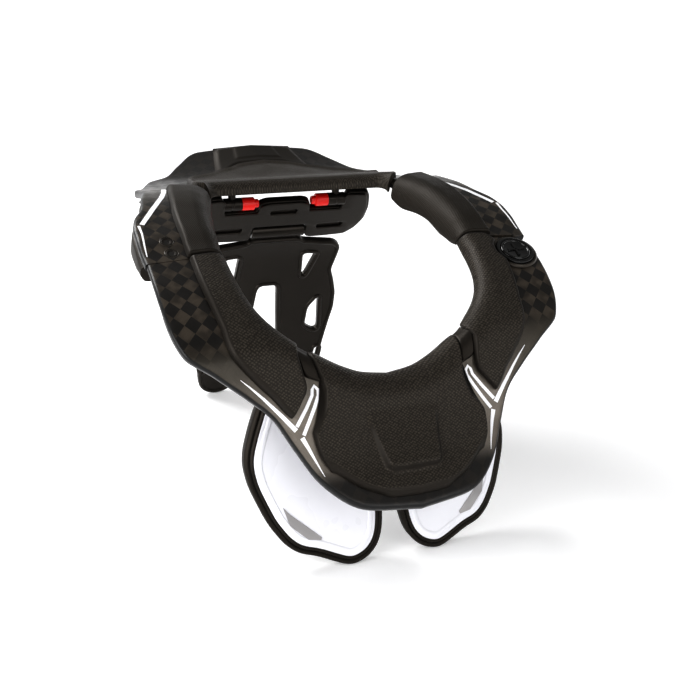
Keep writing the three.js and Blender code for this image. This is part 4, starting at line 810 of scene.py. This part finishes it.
def pad_section(ring, at, pad, width, thin=1.0, fine=14):
    """Section of a pad as (along, up, from its outline) rows, from its outer edge inwards.

    wrap 1 rolls its inner side over the ring's lip and 0 ends it on the shell; fine is the number
    of steps across its top.
    """
    lip, skirt = ring["table"]["lip"](at), ring["table"]["skirt"](at)
    top = PAD_GAP + PAD_THICKNESS * thin
    wrap = pad["wrap"]
    hem = lip + 1 + pad["hang"] * max(skirt - lip - 1, 4)
    start, end = pad["from"] * width, pad["to"] * width
    k = min(1, (end - start) / 40)
    wrapped = [
        (16 * k, top), (9 * k, top - lip * LIP_ROLL(9)), (4 * k, top - lip * LIP_ROLL(5)),
        (0, top - 1 - lip), (-2.6, top - 3.6 - lip), (-3.4, 2 - hem), (-2.6, -hem), (0.4, -hem),
        (0.4, -lip * 0.9 - 1), (0.9, PAD_GAP + 0.2 - lip),
        (5 * k, PAD_GAP - lip * LIP_ROLL(5.6 * k) + 0.2),
        (10 * k, PAD_GAP - lip * LIP_ROLL(10.5 * k)), (16 * k, PAD_GAP - lip * LIP_ROLL(16 * k)),
    ]
    plain = [
        (9 * k, top), (6 * k, top), (3.4 * k, top), (1.8 * k, top - 0.8 * thin),
        (0.6 * k, top - 2.4 * thin), (0.2 * k, PAD_GAP + 1.2 * thin), (0, PAD_GAP + 0.6 * thin),
        (0, PAD_GAP + 0.3 * thin), (0, PAD_GAP), (1 * k, PAD_GAP), (3 * k, PAD_GAP),
        (6 * k, PAD_GAP), (9 * k, PAD_GAP),
    ]
    inner = [(start + a[0] * wrap + b[0] * (1 - wrap), a[1] * wrap + b[1] * (1 - wrap))
             for a, b in zip(wrapped, plain)]
    first, last = inner[0][0], end - 3.6 * k
    across = [first + (last - first) * t for t in spread(0, 1, fine)]
    outer = [(end, PAD_GAP), (end - 0.3 * k, PAD_GAP + 1.0 * thin),
             (end - 1.1 * k, top - 1.7 * thin), (end - 2.3 * k, top - 0.5 * thin)]
    rows = outer + [(s, top) for s in reversed(across)] + inner[1:]
    rows += [(s, PAD_GAP) for s in across[1:-1]]
    return [(s, up, min(end - s, NO_EDGE if wrap > 0.5 else s - start)) for s, up in rows]


def soften(rows):
    """Rounds the section's corners by one pass of averaging, its outer points kept."""
    made = []
    for i, (s, up, edge) in enumerate(rows):
        before, after = rows[i - 1], rows[(i + 1) % len(rows)]
        if i < 2 or i > len(rows) - 3:
            made.append((s, up, edge))
        else:
            made.append((s * 0.5 + (before[0] + after[0]) / 4, up * 0.5 + (before[1] + after[1]) / 4,
                         edge))
    return made


# Length over which a pad's ends are thinned, share that stays there, and its smooth border
END_ROUND, END_LEFT, END_BORDER = 2.2, 0.55, 1.2


def end_thin(at, first, last, reach):
    """Thickness share near a pad's two ends, so that they are rounded off."""
    near = min(1, max(0, min(at - first, last - at) / reach))
    return END_LEFT + (1 - END_LEFT) * math.sqrt(near * (2 - near))


def arm_pad(kind, ring, table, side, body_name, finish, count):
    rows_at = columns(table, PAD_KEYS)
    first, last = table[0][0], table[-1][0]
    near = END_ROUND / FRONT_RUN
    ats = {first, last, *[first + near * t for t in (0.15, 0.4, 0.7, 1)],
           *spread(first, last, count), *spread(last - 0.03, last, 24)}

    def section(side, at, width):
        pad = {key: rows_at[key](at) for key in PAD_KEYS[1:]}
        if ring is front and side == "left":
            pad["to"] = clear_of_button(at, pad["to"], width)
        border = min(at - first, last - at) * FRONT_RUN + END_BORDER
        rows = pad_section(ring, at, pad, width, end_thin(at, first, last, near))
        return [(s, up, min(edge, border)) for s, up, edge in soften(rows)]

    body = ring_body(ring, [(side, at) for at in sorted(ats)], section)
    build(f"{kind}_skin_{side}", body, finish, body_name, [f"{kind}_{side}"], 60)


def clear_of_button(at, to, width):
    """Beside the button the pad's outer edge bends inwards around its collar."""
    while to > 0.15:
        x, run = ring_flat(front, "left", at, to * width)
        if x < BUTTON_X - 10 and math.hypot(x - BUTTON_X, run - BUTTON_RUN) > BEZEL_RADIUS + 1:
            break
        to -= 0.5 / width
    return to


for side in SIGNS:
    arm_pad("side_pad", front, FRONT_SIDE_PAD, side, "front_frame", PEBBLED, 90)
    arm_pad("rear_pad", rear, REAR_SIDE_PAD, side, "rear_frame", WOVEN, 70)


# Ridge along the platform pad's rear edge: where it starts, height, distance from the edge. Within
# the roll at its front edge the pad's texture has no smooth border.
RIDGE_FROM, RIDGE_RISE, RIDGE_IN = 0.66, 1.7, 4.5
PLATFORM_ROLL = 12


def platform_pad():
    rows_at = columns(PLATFORM_PAD, PAD_KEYS)

    def section(side, at, width):
        pad = {key: rows_at[key](at) for key in PAD_KEYS[1:]}
        row = []
        for s, up, edge in soften(pad_section(rear, at, pad, width)):
            if up > PAD_GAP + PAD_THICKNESS / 2 and at > RIDGE_FROM:
                up += RIDGE_RISE * smooth(1 - abs(edge - RIDGE_IN) / RIDGE_IN)
            row.append((s, up, edge if s > PLATFORM_ROLL else NO_EDGE))
        return row

    body = ring_body(rear, both_sides(spread(PLATFORM_PAD[0][0], 1, 60)), section)
    build("platform_pad_skin", body, RIDGED, "rear_frame", ["platform_pad"], 60)


platform_pad()


pad_side, pad_foot_sharp = curve(FRONT_PAD_SIDE), curve(FRONT_PAD_FOOT)


def pad_foot(reach):
    """The foot's outline with its corners rounded."""
    near = [min(1, max(0, reach + shift)) for shift in (-0.06, -0.03, 0, 0.03, 0.06)]
    return sum(pad_foot_sharp(r) for r in near) / len(near)


# The front pad fans out from the middle: its depth there, its reach along the ring, its half width
# and the depth of the roll at its upper edge
PAD_FAN_WIDTH, PAD_FAN_REACH, PAD_FAN_HALF, PAD_ROLL = 80, 0.34, 62, 17
# The wedge on the front pad: half width and run at its upper and lower end, height, wall, corner,
# and the edge value that keeps its walls smooth
SCOOP_TOP, SCOOP_FOOT = (27.5, -131), (20.5, -176)
SCOOP_RISE, SCOOP_WALL, SCOOP_CORNER, SCOOP_SMOOTH = 6, 4.4, 7, 3


def scoop(x, run):
    """Height of the raised wedge over the front pad's face, and its smooth walls' edge value."""
    (top_half, top_run), (foot_half, foot_run) = SCOOP_TOP, SCOOP_FOOT
    t = min(1, max(0, (run - top_run) / (foot_run - top_run)))
    half = top_half + (foot_half - top_half) * t
    short = [SCOOP_CORNER - d for d in (half - abs(x), run - foot_run)]
    inside = SCOOP_CORNER - math.hypot(*[max(0, d) for d in short]) - min(0, max(short))
    wall = smooth(inside / SCOOP_WALL)
    rough = (2 * wall - 1) ** 4 + max(0, 1 - 4 * t)
    return SCOOP_RISE * t ** 0.8 * wall, SCOOP_SMOOTH * (1 + rough)


def front_pad():
    """Built from fans, whose span runs from 1 at the pad's left edge to -1 at its right."""
    spans = sorted({1, 0.995, 0.985, 0.97, 0.95, 0.92, *spread(0.5, 0.9, 20),
                    *spread(0, 0.5, 66)}, reverse=True)
    spans += [-s for s in reversed(spans[:-1])]
    body, rows = Body(), []
    for span in spans:
        reach, side = abs(span), ("left" if span >= 0 else "right")
        thin = min(1, 0.3 + (1 - reach) * 17) if reach > 0.96 else 1
        pad = {"from": 0, "to": pad_foot(reach), "wrap": 1, "hang": 1}
        row = []
        section = pad_section(front, 1 - reach * PAD_FAN_REACH, pad, PAD_FAN_WIDTH, thin, 62)
        for s, up, edge in soften(section):
            share = s / PAD_FAN_WIDTH
            at = 1 - reach * (1 - pad_side(min(0.9, max(0, share))))
            if 0 < s < PAD_ROLL:
                at = 1 - reach * (1 - pad_side(min(0.9, s / ring_width(front, side, at))))
            width = ring_width(front, side, at)
            x, run = ring_flat(front, side, at, s if s < PAD_ROLL else share * width)
            if up > PAD_GAP + PAD_THICKNESS * 0.8 and s > LIP_WIDTH:
                lift, wall_edge = scoop(x, run)
                up, edge = up + lift, min(edge, wall_edge)
            beside = (1 - reach) * PAD_FAN_HALF + 0.6
            row.append((deck(x, run, up), (x, run, up), min(edge, beside)))
        rows.append(row)
    body.loops(rows)
    build("front_pad_skin", body, PEBBLED, "front_frame", ["front_pad"], 60)


front_pad()


# Smooth flaps between the side pads and the front pad
FLAP_FOOT = [(0.572, 0.08), (0.61, 0.21), (0.6525, 0.301), (0.69, 0.268), (0.725, 0.236)]
FLAP_HEIGHT, FLAP_TUCKED = 2.4, 0.35


def flap(side):
    reach = curve(FLAP_FOOT)

    def section(side, at, width):
        lip = front["table"]["lip"](at)
        foot = reach(at) * width

        def top(s):
            tucked = smooth((at - pad_side(min(0.9, max(0, s / width))) + 0.004) / 0.012)
            height = FLAP_HEIGHT * (1 - tucked) + FLAP_TUCKED * tucked
            return height - lip * LIP_ROLL(min(LIP_WIDTH, max(0, s)))

        upper = [(s, top(s)) for s in spread(0.5, foot - 1.4, 14)]
        return [(-1.6, -lip - 5), (-2.0, -lip - 1), *upper, (foot - 0.4, top(foot) * 0.72),
                (foot, top(foot) * 0.35), (foot, 0.15),
                (foot * 0.5, 0.1 - lip * LIP_ROLL(min(LIP_WIDTH, foot * 0.5))),
                (1.2, -0.1 - lip), (0.6, -lip - 5)]

    stations = [(side, at) for at in spread(FLAP_FOOT[0][0], FLAP_FOOT[-1][0], 36)]
    body = ring_body(front, stations, section)
    build(f"pad_flap_{side}", body, SMOOTH_RUBBER, "front_frame")


for side in SIGNS:
    flap(side)


# Foam under the rear arms
def shoulder_pad(side):
    table = columns(SHOULDER_PAD, ("at", "top", "inner", "outer"))

    def section(side, at, width):
        high, shallow, deep = (table[key](at) for key in ("top", "inner", "outer"))
        return rounded([
            (0.3 * width, -high), (0.6 * width, -high), (width - 5.6, -high),
            (width - 5.2, -RIM_DEPTH - 1.4), (width + 0.6, -RIM_DEPTH - 1.4),
            (width + 1.6, -max(deep * 0.65, RIM_DEPTH + 3)), (width - 1.5, -deep),
            (width - 8, -deep - 0.6), (0.5 * width, -(shallow + deep) / 2),
            (0.2 * width, -shallow), (0.13 * width, -shallow + 1.5),
        ], 2.5, 3, 3)

    stations = [(side, at) for at in spread(SHOULDER_PAD[0][0], SHOULDER_PAD[-1][0], 50)]
    build(f"shoulder_pad_skin_{side}", ring_body(rear, stations, section), CHEST_FOAM_SKIN,
          "rear_frame", [f"shoulder_pad_{side}"], 60)


for side in SIGNS:
    shoulder_pad(side)


# Spine cap with a plain raised panel: its front edge's run, how far that sweeps forward at the
# sides, half widths of its straight nose, front and rear, and the rear edge's share of the run
CAP_FRONT, CAP_SWEEP = 219.6, 24
CAP_NOSE, CAP_FRONT_HALF, CAP_REAR_HALF = 19, 48, 36
CAP_REAR = 0.992
CAP_UNDER, CAP_FOOT, CAP_RISE, CAP_PANEL = 0.5, 1.05, 2.1, 0.8
# Shares over which its ends and sides slope, and half of the panel's share of the width
CAP_END_SLOPE, CAP_SIDE_SLOPE, CAP_PANEL_HALF = 0.16, 0.14, 0.5


def spine_cap():
    body, rows = Body(), []
    last = CAP_REAR * REAR_RUN
    for share in spread(0, 1, 44):
        end = smooth(share / CAP_END_SLOPE) * smooth((1 - share) / CAP_END_SLOPE)
        width = CAP_FRONT_HALF * (1 - share) + CAP_REAR_HALF * share
        row = []
        for t in spread(-1, 1, 56):
            x = t * width
            flare = smooth((abs(x) - CAP_NOSE) / (CAP_FRONT_HALF - CAP_NOSE))
            start = CAP_FRONT - CAP_SWEEP * flare
            side = smooth((1 - abs(t)) / CAP_SIDE_SLOPE)
            panel = CAP_PANEL * smooth((CAP_PANEL_HALF - abs(t)) / 0.06) * smooth((share - 0.25) / 0.1)
            up = CAP_FOOT + (CAP_RISE + panel * end) * side * end
            row.append((x, start + (last - start) * share, up))
        middle = row[len(row) // 2][1]
        row += [(*row[-1][:2], CAP_UNDER), (0, middle, CAP_UNDER), (*row[0][:2], CAP_UNDER)]
        rows.append([(deck(*p), p) for p in row])
    body.loops(rows)
    build("spine_cap_shell", body, SMOOTH_RUBBER, "rear_frame", ["spine_cap"], sharp=50)


spine_cap()


# Thin decals on the shells
DECAL_LIFT, DECAL_THICKNESS = 0.12, 0.18
# Centre line of each stripe on the wearer's left: x, run, width
STRIPES = {
    "fork": [(68.2, -140.0, 2.4), (63.2, -131.8, 2.4), (58.0, -122.8, 2.4), (54.3, -115.6, 2.3),
             (54.0, -112.0, 2.2), (56.2, -109.2, 2.1), (57.9, -111.6, 2.1), (58.6, -115.2, 2.2),
             (63.8, -123.2, 2.3), (71.8, -133.9, 2.4)],
    "arm": [(72.6, -136.4, 3.2), (80.6, -126.0, 2.7), (91.0, -113.4, 1.8), (98, -105.6, 1.1),
            (103.8, -99.7, 0.3)],
    "rim": [(69.6, -141.4, 3.2), (66.6, -149.0, 2.4), (63.4, -158.4, 1.4), (60.0, -168.5, 0.3)],
    "elbow": [(109.6, 116.2, 3.8), (112.4, 103.0, 3.8), (117.2, 88.6, 3.8), (124.4, 73.0, 3.7),
              (132.0, 58.6, 3.6), (139.8, 44.6, 3.5)],
    "elbow_thin": [(142.3, 43.2, 2.0), (142.0, 33.0, 1.4), (142.8, 20.0, 1.2), (143.2, 8.0, 0.6)],
}


def stripe(name, rows, side, body_name):
    sign, low, high = SIGNS[side], DECAL_LIFT, DECAL_LIFT + DECAL_THICKNESS
    pieces = []
    for (x0, r0, w0), (x1, r1, w1) in zip(rows, rows[1:]):
        steps = max(1, int(math.hypot(x1 - x0, r1 - r0) / 2))
        pieces += [(x0 + (x1 - x0) * t, r0 + (r1 - r0) * t, w0 + (w1 - w0) * t)
                   for t in (i / steps for i in range(steps))]
    pieces.append(rows[-1])
    body, loops = Body(), []
    for i, (x, run, width) in enumerate(pieces):
        before, after = pieces[max(0, i - 1)], pieces[min(len(pieces) - 1, i + 1)]
        along = Vector((after[0] - before[0], after[1] - before[1])).normalized()
        row = []
        for across, up in ((-1, low), (-1, high), (0, high), (1, high), (1, low), (0, low)):
            px = sign * (x - along.y * across * width / 2)
            pr = run + along.x * across * width / 2
            row.append((deck(px, pr, up), (px, pr, up)))
        loops.append(row)
    body.loops(loops)
    build(f"decal_{name}_{side}", body, DECAL, body_name)


for side in SIGNS:
    for name, rows in STRIPES.items():
        stripe(name, rows, side, "rear_frame" if name.startswith("elbow") else "front_frame")


# Release button, its bezel and collar as (radius, height) over the shell
BUTTON_TURNED = [
    (0, 2.5), (10.8, 2.5), (BUTTON_RADIUS, 2.7), (BUTTON_RADIUS, 3.2), (10.9, 3.6), (10.2, 3.9),
    (9.6, 3.8), (9.2, 3.3), (8.6, 3.1), (0, 3.1),
]
BEZEL_TURNED = [
    (11.6, 0.3), (BEZEL_RADIUS, 0.3), (BEZEL_RADIUS, 2.3), (14.2, 3.0), (13.4, 3.35), (12.6, 3.3),
    (11.9, 2.9), (11.6, 2.2), (11.6, 0.3),
]
COLLAR_TURNED = [
    (14.9, 0.1), (17.6, 0.1), (17.3, 1.0), (16.6, 1.7), (15.8, 1.8), (15.1, 1.4), (14.9, 0.9),
    (14.9, 0.1),
]
# The cross on the button: half length, half width, and its section as (share across, height)
CROSS_REACH, CROSS_HALF = 6.6, 1.1
CROSS_SECTION = [(-1, 3.05), (-0.75, 3.9), (0.75, 3.9), (1, 3.05)]
button_foot = deck(BUTTON_X, BUTTON_RUN)
button_axis = deck(BUTTON_X, BUTTON_RUN, 1) - button_foot


def button_cross():
    body = Body()
    side = Vector((1, 0, 0))
    for along in (side, button_axis.cross(side)):
        across = button_axis.cross(along)
        body.loops([[(button_foot + along * end * CROSS_REACH + across * wide * CROSS_HALF
                      + button_axis * high,) for wide, high in CROSS_SECTION] for end in (-1, 1)])
    build("button_cross", body, GLOSS_BLACK, "button")


turned("release_button_cap", BUTTON_TURNED, button_foot, button_axis, 72, GLOSS_BLACK, "button",
       ["release_button"])
button_cross()
turned("button_bezel_ring", BEZEL_TURNED, button_foot, button_axis, 72, GLOSS_BLACK, "front_frame",
       ["button_bezel"])
turned("button_collar", COLLAR_TURNED, button_foot, button_axis, 72, COLLAR, "front_frame")

# Recessed screws: x and run, and their heads and rims as (radius, height)
SCREWS = {"latch_screw_front": (-126.2, 10), "latch_screw_rear": (-127.2, 22)}
SCREW_TURNED = [(0, -1.1), (1.9, -1.1), (2.0, 0.0), (2.4, 0.25), (3.6, 0.3), (4.1, 0.0), (4.2, -0.9)]
RIM_TURNED = [(4.3, 0.0), (4.35, 0.25), (4.65, 0.35), (4.9, 0.2), (4.95, 0.0), (4.3, 0.0)]
for name, (x, run) in SCREWS.items():
    foot = deck(x, run)
    axis = deck(x, run, 1) - foot
    turned(f"{name}_head", SCREW_TURNED, foot, axis, 40, SCREW_BLACK, "rear_frame", [name])
    turned(f"{name}_rim", RIM_TURNED, foot, axis, 40, COLLAR, "rear_frame")


# Back plate: a base, a front layer with recesses, and the two pins
def scaled(points, width, height):
    return [(x * width, y * height) for x, y in points]


def slot_outline(x0, x1, y0, y1):
    return rounded([(x0, y0), (x1, y0), (x1, y1), (x0, y1)], 2.2)


# Depth of the plate's front layer and share of the base that it covers across and down
PLATE_LAYER, LAYER_ACROSS, LAYER_DOWN = 2.4, 0.965, 0.95
# Recesses in that layer: from and to across, from and to down
PLATE_SLOTS = [(-12, 12, -1.5, 4.2), (-58, -34, 19.5, 25.5), (34, 58, 19.5, 25.5)]


def back_plate():
    outline = rounded(mirrored(scaled(PLATE_OUTLINE, PLATE_HALF_WIDTH, PLATE_HEIGHT)), 3.4)
    layer = rounded(mirrored(scaled(PLATE_OUTLINE, PLATE_HALF_WIDTH * LAYER_ACROSS,
                                    PLATE_HEIGHT * LAYER_DOWN)), 3.0)
    slots = [slot_outline(*slot) for slot in PLATE_SLOTS]
    body = Body()
    slab(body, outline, [], -PLATE_THICKNESS, -PLATE_LAYER, 1.0, on_plate, 10)
    slab(body, layer, slots, -PLATE_LAYER - 0.2, 0.0, 0.9, on_plate, 10)
    build("back_plate_moulding", body, BLACK, "rear_frame", ["back_plate"], sharp=32)


back_plate()


def tube(name, start, end, outline, finish, nodes=()):
    """A turned piece from start to end; outline is (share of the way, radius)."""
    axis = end - start
    turned(name, [(r, s * axis.length) for s, r in outline], start, axis, 40, finish, "rear_frame",
           nodes)


def pins(side):
    outer = PLATE_OUTLINE[5][0] * PLATE_HALF_WIDTH - 0.5
    split, end = outer - PIN_LENGTH * PIN_SLEEVE_SHARE, outer - PIN_LENGTH
    inner_end, outer_end, tip_end = [
        on_plate(x * SIGNS[side], PIN_DROP, -PLATE_THICKNESS / 2) for x in (split, outer, end)]
    r = PIN_RADIUS
    tube(f"pin_sleeve_turned_{side}", inner_end, outer_end,
         [(0, 0), (0, r - 0.4), (0.03, r), (0.45, r), (0.48, r - 0.3), (0.55, r - 0.3),
          (0.58, r), (0.97, r), (1, r - 0.4), (1, 0)], BLACK, [f"pin_sleeve_{side}"])
    tube(f"pin_tip_turned_{side}", inner_end, tip_end,
         [(0, 0), (0, r - 0.3), (0.03, r), (0.70, r), (0.74, r - 0.5), (0.76, r * 0.66),
          (0.97, r * 0.66), (1, r * 0.6), (1, 0)], RED, [f"pin_tip_{side}"])
    middle = (inner_end + outer_end) / 2
    roof = deck(middle.x, run_at(middle.y), -SHELL_WALL).z - 0.3
    tube(f"pin_stem_{side}", middle, Vector((middle.x, middle.y, roof)),
         [(0, 3.2), (0.6, 3.2), (0.9, 4.2), (1, 4.2), (1, 0)], BLACK)


for side in SIGNS:
    pins(side)


# Folding strut: depth of its web below the raised flange, the flange's radius, inset and squash,
# and the strap round the barrel
STRUT_WEB, FLANGE_RADIUS, FLANGE_INSET, FLANGE_SQUASH = 1.4, 1.9, 2.0, 0.72
STRUT_CORNER, BARREL_CHAMFER = 4, 0.6
STRAP_HALF, STRAP_FROM, STRAP_TO, STRAP_DEPTH = 22, 1, 16, 2.6


def strut():
    half = STRUT_THICKNESS / 2
    body = Body()
    outline = rounded(mirrored(scaled(STRUT_OUTLINE, STRUT_HALF_WIDTH, STRUT_LENGTH)), STRUT_CORNER)
    holes = []
    for rows in STRUT_HOLES:
        hole = rounded(scaled(rows, STRUT_HALF_WIDTH, STRUT_LENGTH), STRUT_CORNER)
        holes += [hole, [(-x, y) for x, y in reversed(hole)]]
    slab(body, outline, holes, -half, half - STRUT_WEB, 0.8, on_strut, 7)
    for ring, inset_by in ((outline, FLANGE_INSET), *[(hole, -FLANGE_INSET) for hole in holes]):
        path = [(x, y, half - STRUT_WEB) for x, y in inset(ring, inset_by)]
        bead(body, path, FLANGE_RADIUS, on_strut, FLANGE_SQUASH)
    r, reach, cut = BARREL_RADIUS, BARREL_HALF_LENGTH, BARREL_CHAMFER
    lathe(body, [(0, -reach), (r - cut, -reach), (r, cut - reach), (r, reach - cut),
                 (r - cut, reach), (0, reach)], hinge, (1, 0, 0), 48)
    strap = [(-STRAP_HALF, STRAP_FROM), (STRAP_HALF, STRAP_FROM), (STRAP_HALF, STRAP_TO),
             (-STRAP_HALF, STRAP_TO)]
    slab(body, rounded(strap, 1, 2), [], -half, half - STRAP_DEPTH, 0.6, on_strut, 6)
    build("back_strut_moulding", body, BLACK, "strut", ["back_strut"], sharp=32)


strut()


# Chest plates: the white front ends at a seam in from the foam's edge and has a low bead inside it
CHEST_SEAM, CHEST_RELIEF, CHEST_CORNER, CHEST_FACE = 6, 4, 5, -0.5
# Beads that make the foam's border: distance from its edge, radius, height
BORDER_BEADS = [(1.9, 1.9, -2.9), (CHEST_SEAM - 0.9, 1.7, -2.2)]


def chest(side):
    points = [(x * CHEST_HALF_WIDTH * SIGNS[side], z * CHEST_HEIGHT) for x, z in CHEST_OUTLINE]

    def line(distance, height):
        return [(x, z, height) for x, z in rounded(inset(points, distance), CHEST_CORNER)]

    plate, back = Body(), Body()
    slab(plate, [p[:2] for p in line(CHEST_SEAM, 0)], [], -CHEST_WALL, CHEST_FACE, 0.7, on_chest, 9)
    bead(plate, line(CHEST_SEAM + CHEST_RELIEF, CHEST_FACE), 1.6, on_chest, 0.45)
    build(f"chest_plate_moulding_{side}", plate, WHITE, "front_frame", [f"chest_plate_{side}"],
          sharp=32)
    high = -CHEST_WALL - 0.3
    slab(back, rounded(points, CHEST_CORNER), [], high - CHEST_FOAM, high, 1.2, on_chest, 9)
    for distance, radius, height in BORDER_BEADS:
        bead(back, line(distance, height), radius, on_chest)
    build(f"chest_foam_skin_{side}", back, CHEST_FOAM_SKIN, "front_frame", [f"chest_foam_{side}"],
          40)


# Grey blade on each chest plate: x and z
BLADE = [(76.7, 46.6), (72.6, 41.8), (64.3, 34.7), (52.5, 24.5), (53.1, 22.8), (61.8, 24.0),
         (73.4, 34.5)]


def blade(side):
    body = Body()
    slab(body, [(x * SIGNS[side], z) for x, z in BLADE], [], -0.4, 0.1, 0.1, on_chest, 6)
    build(f"chest_blade_{side}", body, GREY_DECAL, "front_frame")


for side in SIGNS:
    chest(side)
    blade(side)

# Plain finishes on the CAD nodes that stay
STAYS = {
    "pivot_lug": BLACK, "latch_tongue": BLACK, "hinge_pin": STEEL,
    "chest_bracket_left": BLACK, "chest_bracket_right": BLACK,
}
for name, finish in STAYS.items():
    node = frame["nodes"][name]
    node.data.materials.clear()
    node.data.materials.append(finish)

# Camera at the photograph's viewing angle
CAMERA_PLACE = (-254.781, -639.841, 343.42)
CAMERA_FORWARD = (0.35398, 0.88639, -0.29833)
camera_data = bpy.data.cameras.new("camera")
camera_data.lens = 50
camera = bpy.data.objects.new("camera", camera_data)
bpy.context.scene.collection.objects.link(camera)
camera.location = to_frame(CAMERA_PLACE)
camera.rotation_mode = "QUATERNION"
forward = TILT @ Vector(CAMERA_FORWARD)
sideways = TILT @ Vector((CAMERA_FORWARD[1], -CAMERA_FORWARD[0], 0)).normalized()
upward = sideways.cross(forward)
camera.rotation_quaternion = Matrix((sideways, upward, -forward)).transposed().to_quaternion()
bpy.context.scene.camera = camera

# Pale paper sweep and soft studio light
SWEEP = [(0, 0), (4, 0), (5.5, 0.15), (6.6, 0.9), (7.0, 2.6)]
SWEEP_SIDES = 96
sweep_points, sweep_faces = [], []
for radius, height in SWEEP:
    for k in range(SWEEP_SIDES):
        turn = 2 * math.pi * k / SWEEP_SIDES
        sweep_points.append((radius * math.cos(turn), radius * math.sin(turn), height))
for i in range(len(SWEEP) - 1):
    for k in range(SWEEP_SIDES):
        a, b = i * SWEEP_SIDES + k, i * SWEEP_SIDES + (k + 1) % SWEEP_SIDES
        sweep_faces.append((a, b, b + SWEEP_SIDES, a + SWEEP_SIDES))
floor_mesh = bpy.data.meshes.new("floor")
floor_mesh.from_pydata(sweep_points, [], sweep_faces)

# The lamps light the middle; further out the paper glows a little, so that it looks as pale
GLOW_NEAR, GLOW_FAR = 0.2, 0.68
PAPER_TONES = (0.94, 0.94, 0.945, 1), (0.95, 0.95, 0.955, 1)
paper = Nodes("paper", roughness=0.9, emission_color=(1, 1, 1, 1))
distance = paper.node("VectorMath", {0: paper.place()}, operation="LENGTH").outputs["Value"]
paper.set(paper.shader.inputs["Emission Strength"],
          paper.ramp(distance, 0.4, 2.8, GLOW_NEAR, GLOW_FAR))
paper.set(paper.shader.inputs["Base Color"],
          paper.mix(paper.noise(paper.place(), 3.0, 3.0), *PAPER_TONES))
floor = object_of("floor", floor_mesh, paper.material)

world = bpy.data.worlds.new("studio")
world.use_nodes = True
background = world.node_tree.nodes["Background"].inputs
background["Color"].default_value, background["Strength"].default_value = (1, 1, 1, 1), 0.33
bpy.context.scene.world = world

# Square soft lights: name, place, aim, size, power
LIGHTS = [
    ("key", (-0.7, 0.9, 1.3), (0, 0, 0.15), 0.8, 22),
    ("fill", (0.5, -1.6, 1.1), (0, 0, 0.1), 1.2, 11),
    ("side", (-1.3, -0.5, 0.7), (0, -0.05, 0.12), 1.0, 14),
]
for name, place, aim, size, power in LIGHTS:
    data = bpy.data.lights.new(name, "AREA")
    data.shape, data.size, data.energy = "SQUARE", size, power
    lamp = bpy.data.objects.new(name, data)
    bpy.context.scene.collection.objects.link(lamp)
    lamp.location = place
    lamp.rotation_mode = "QUATERNION"
    lamp.rotation_quaternion = (Vector(aim) - Vector(place)).to_track_quat("-Z", "Y")
bpy.context.scene.view_settings.view_transform = "Standard"
bpy.context.scene.view_settings.gamma = 0.8
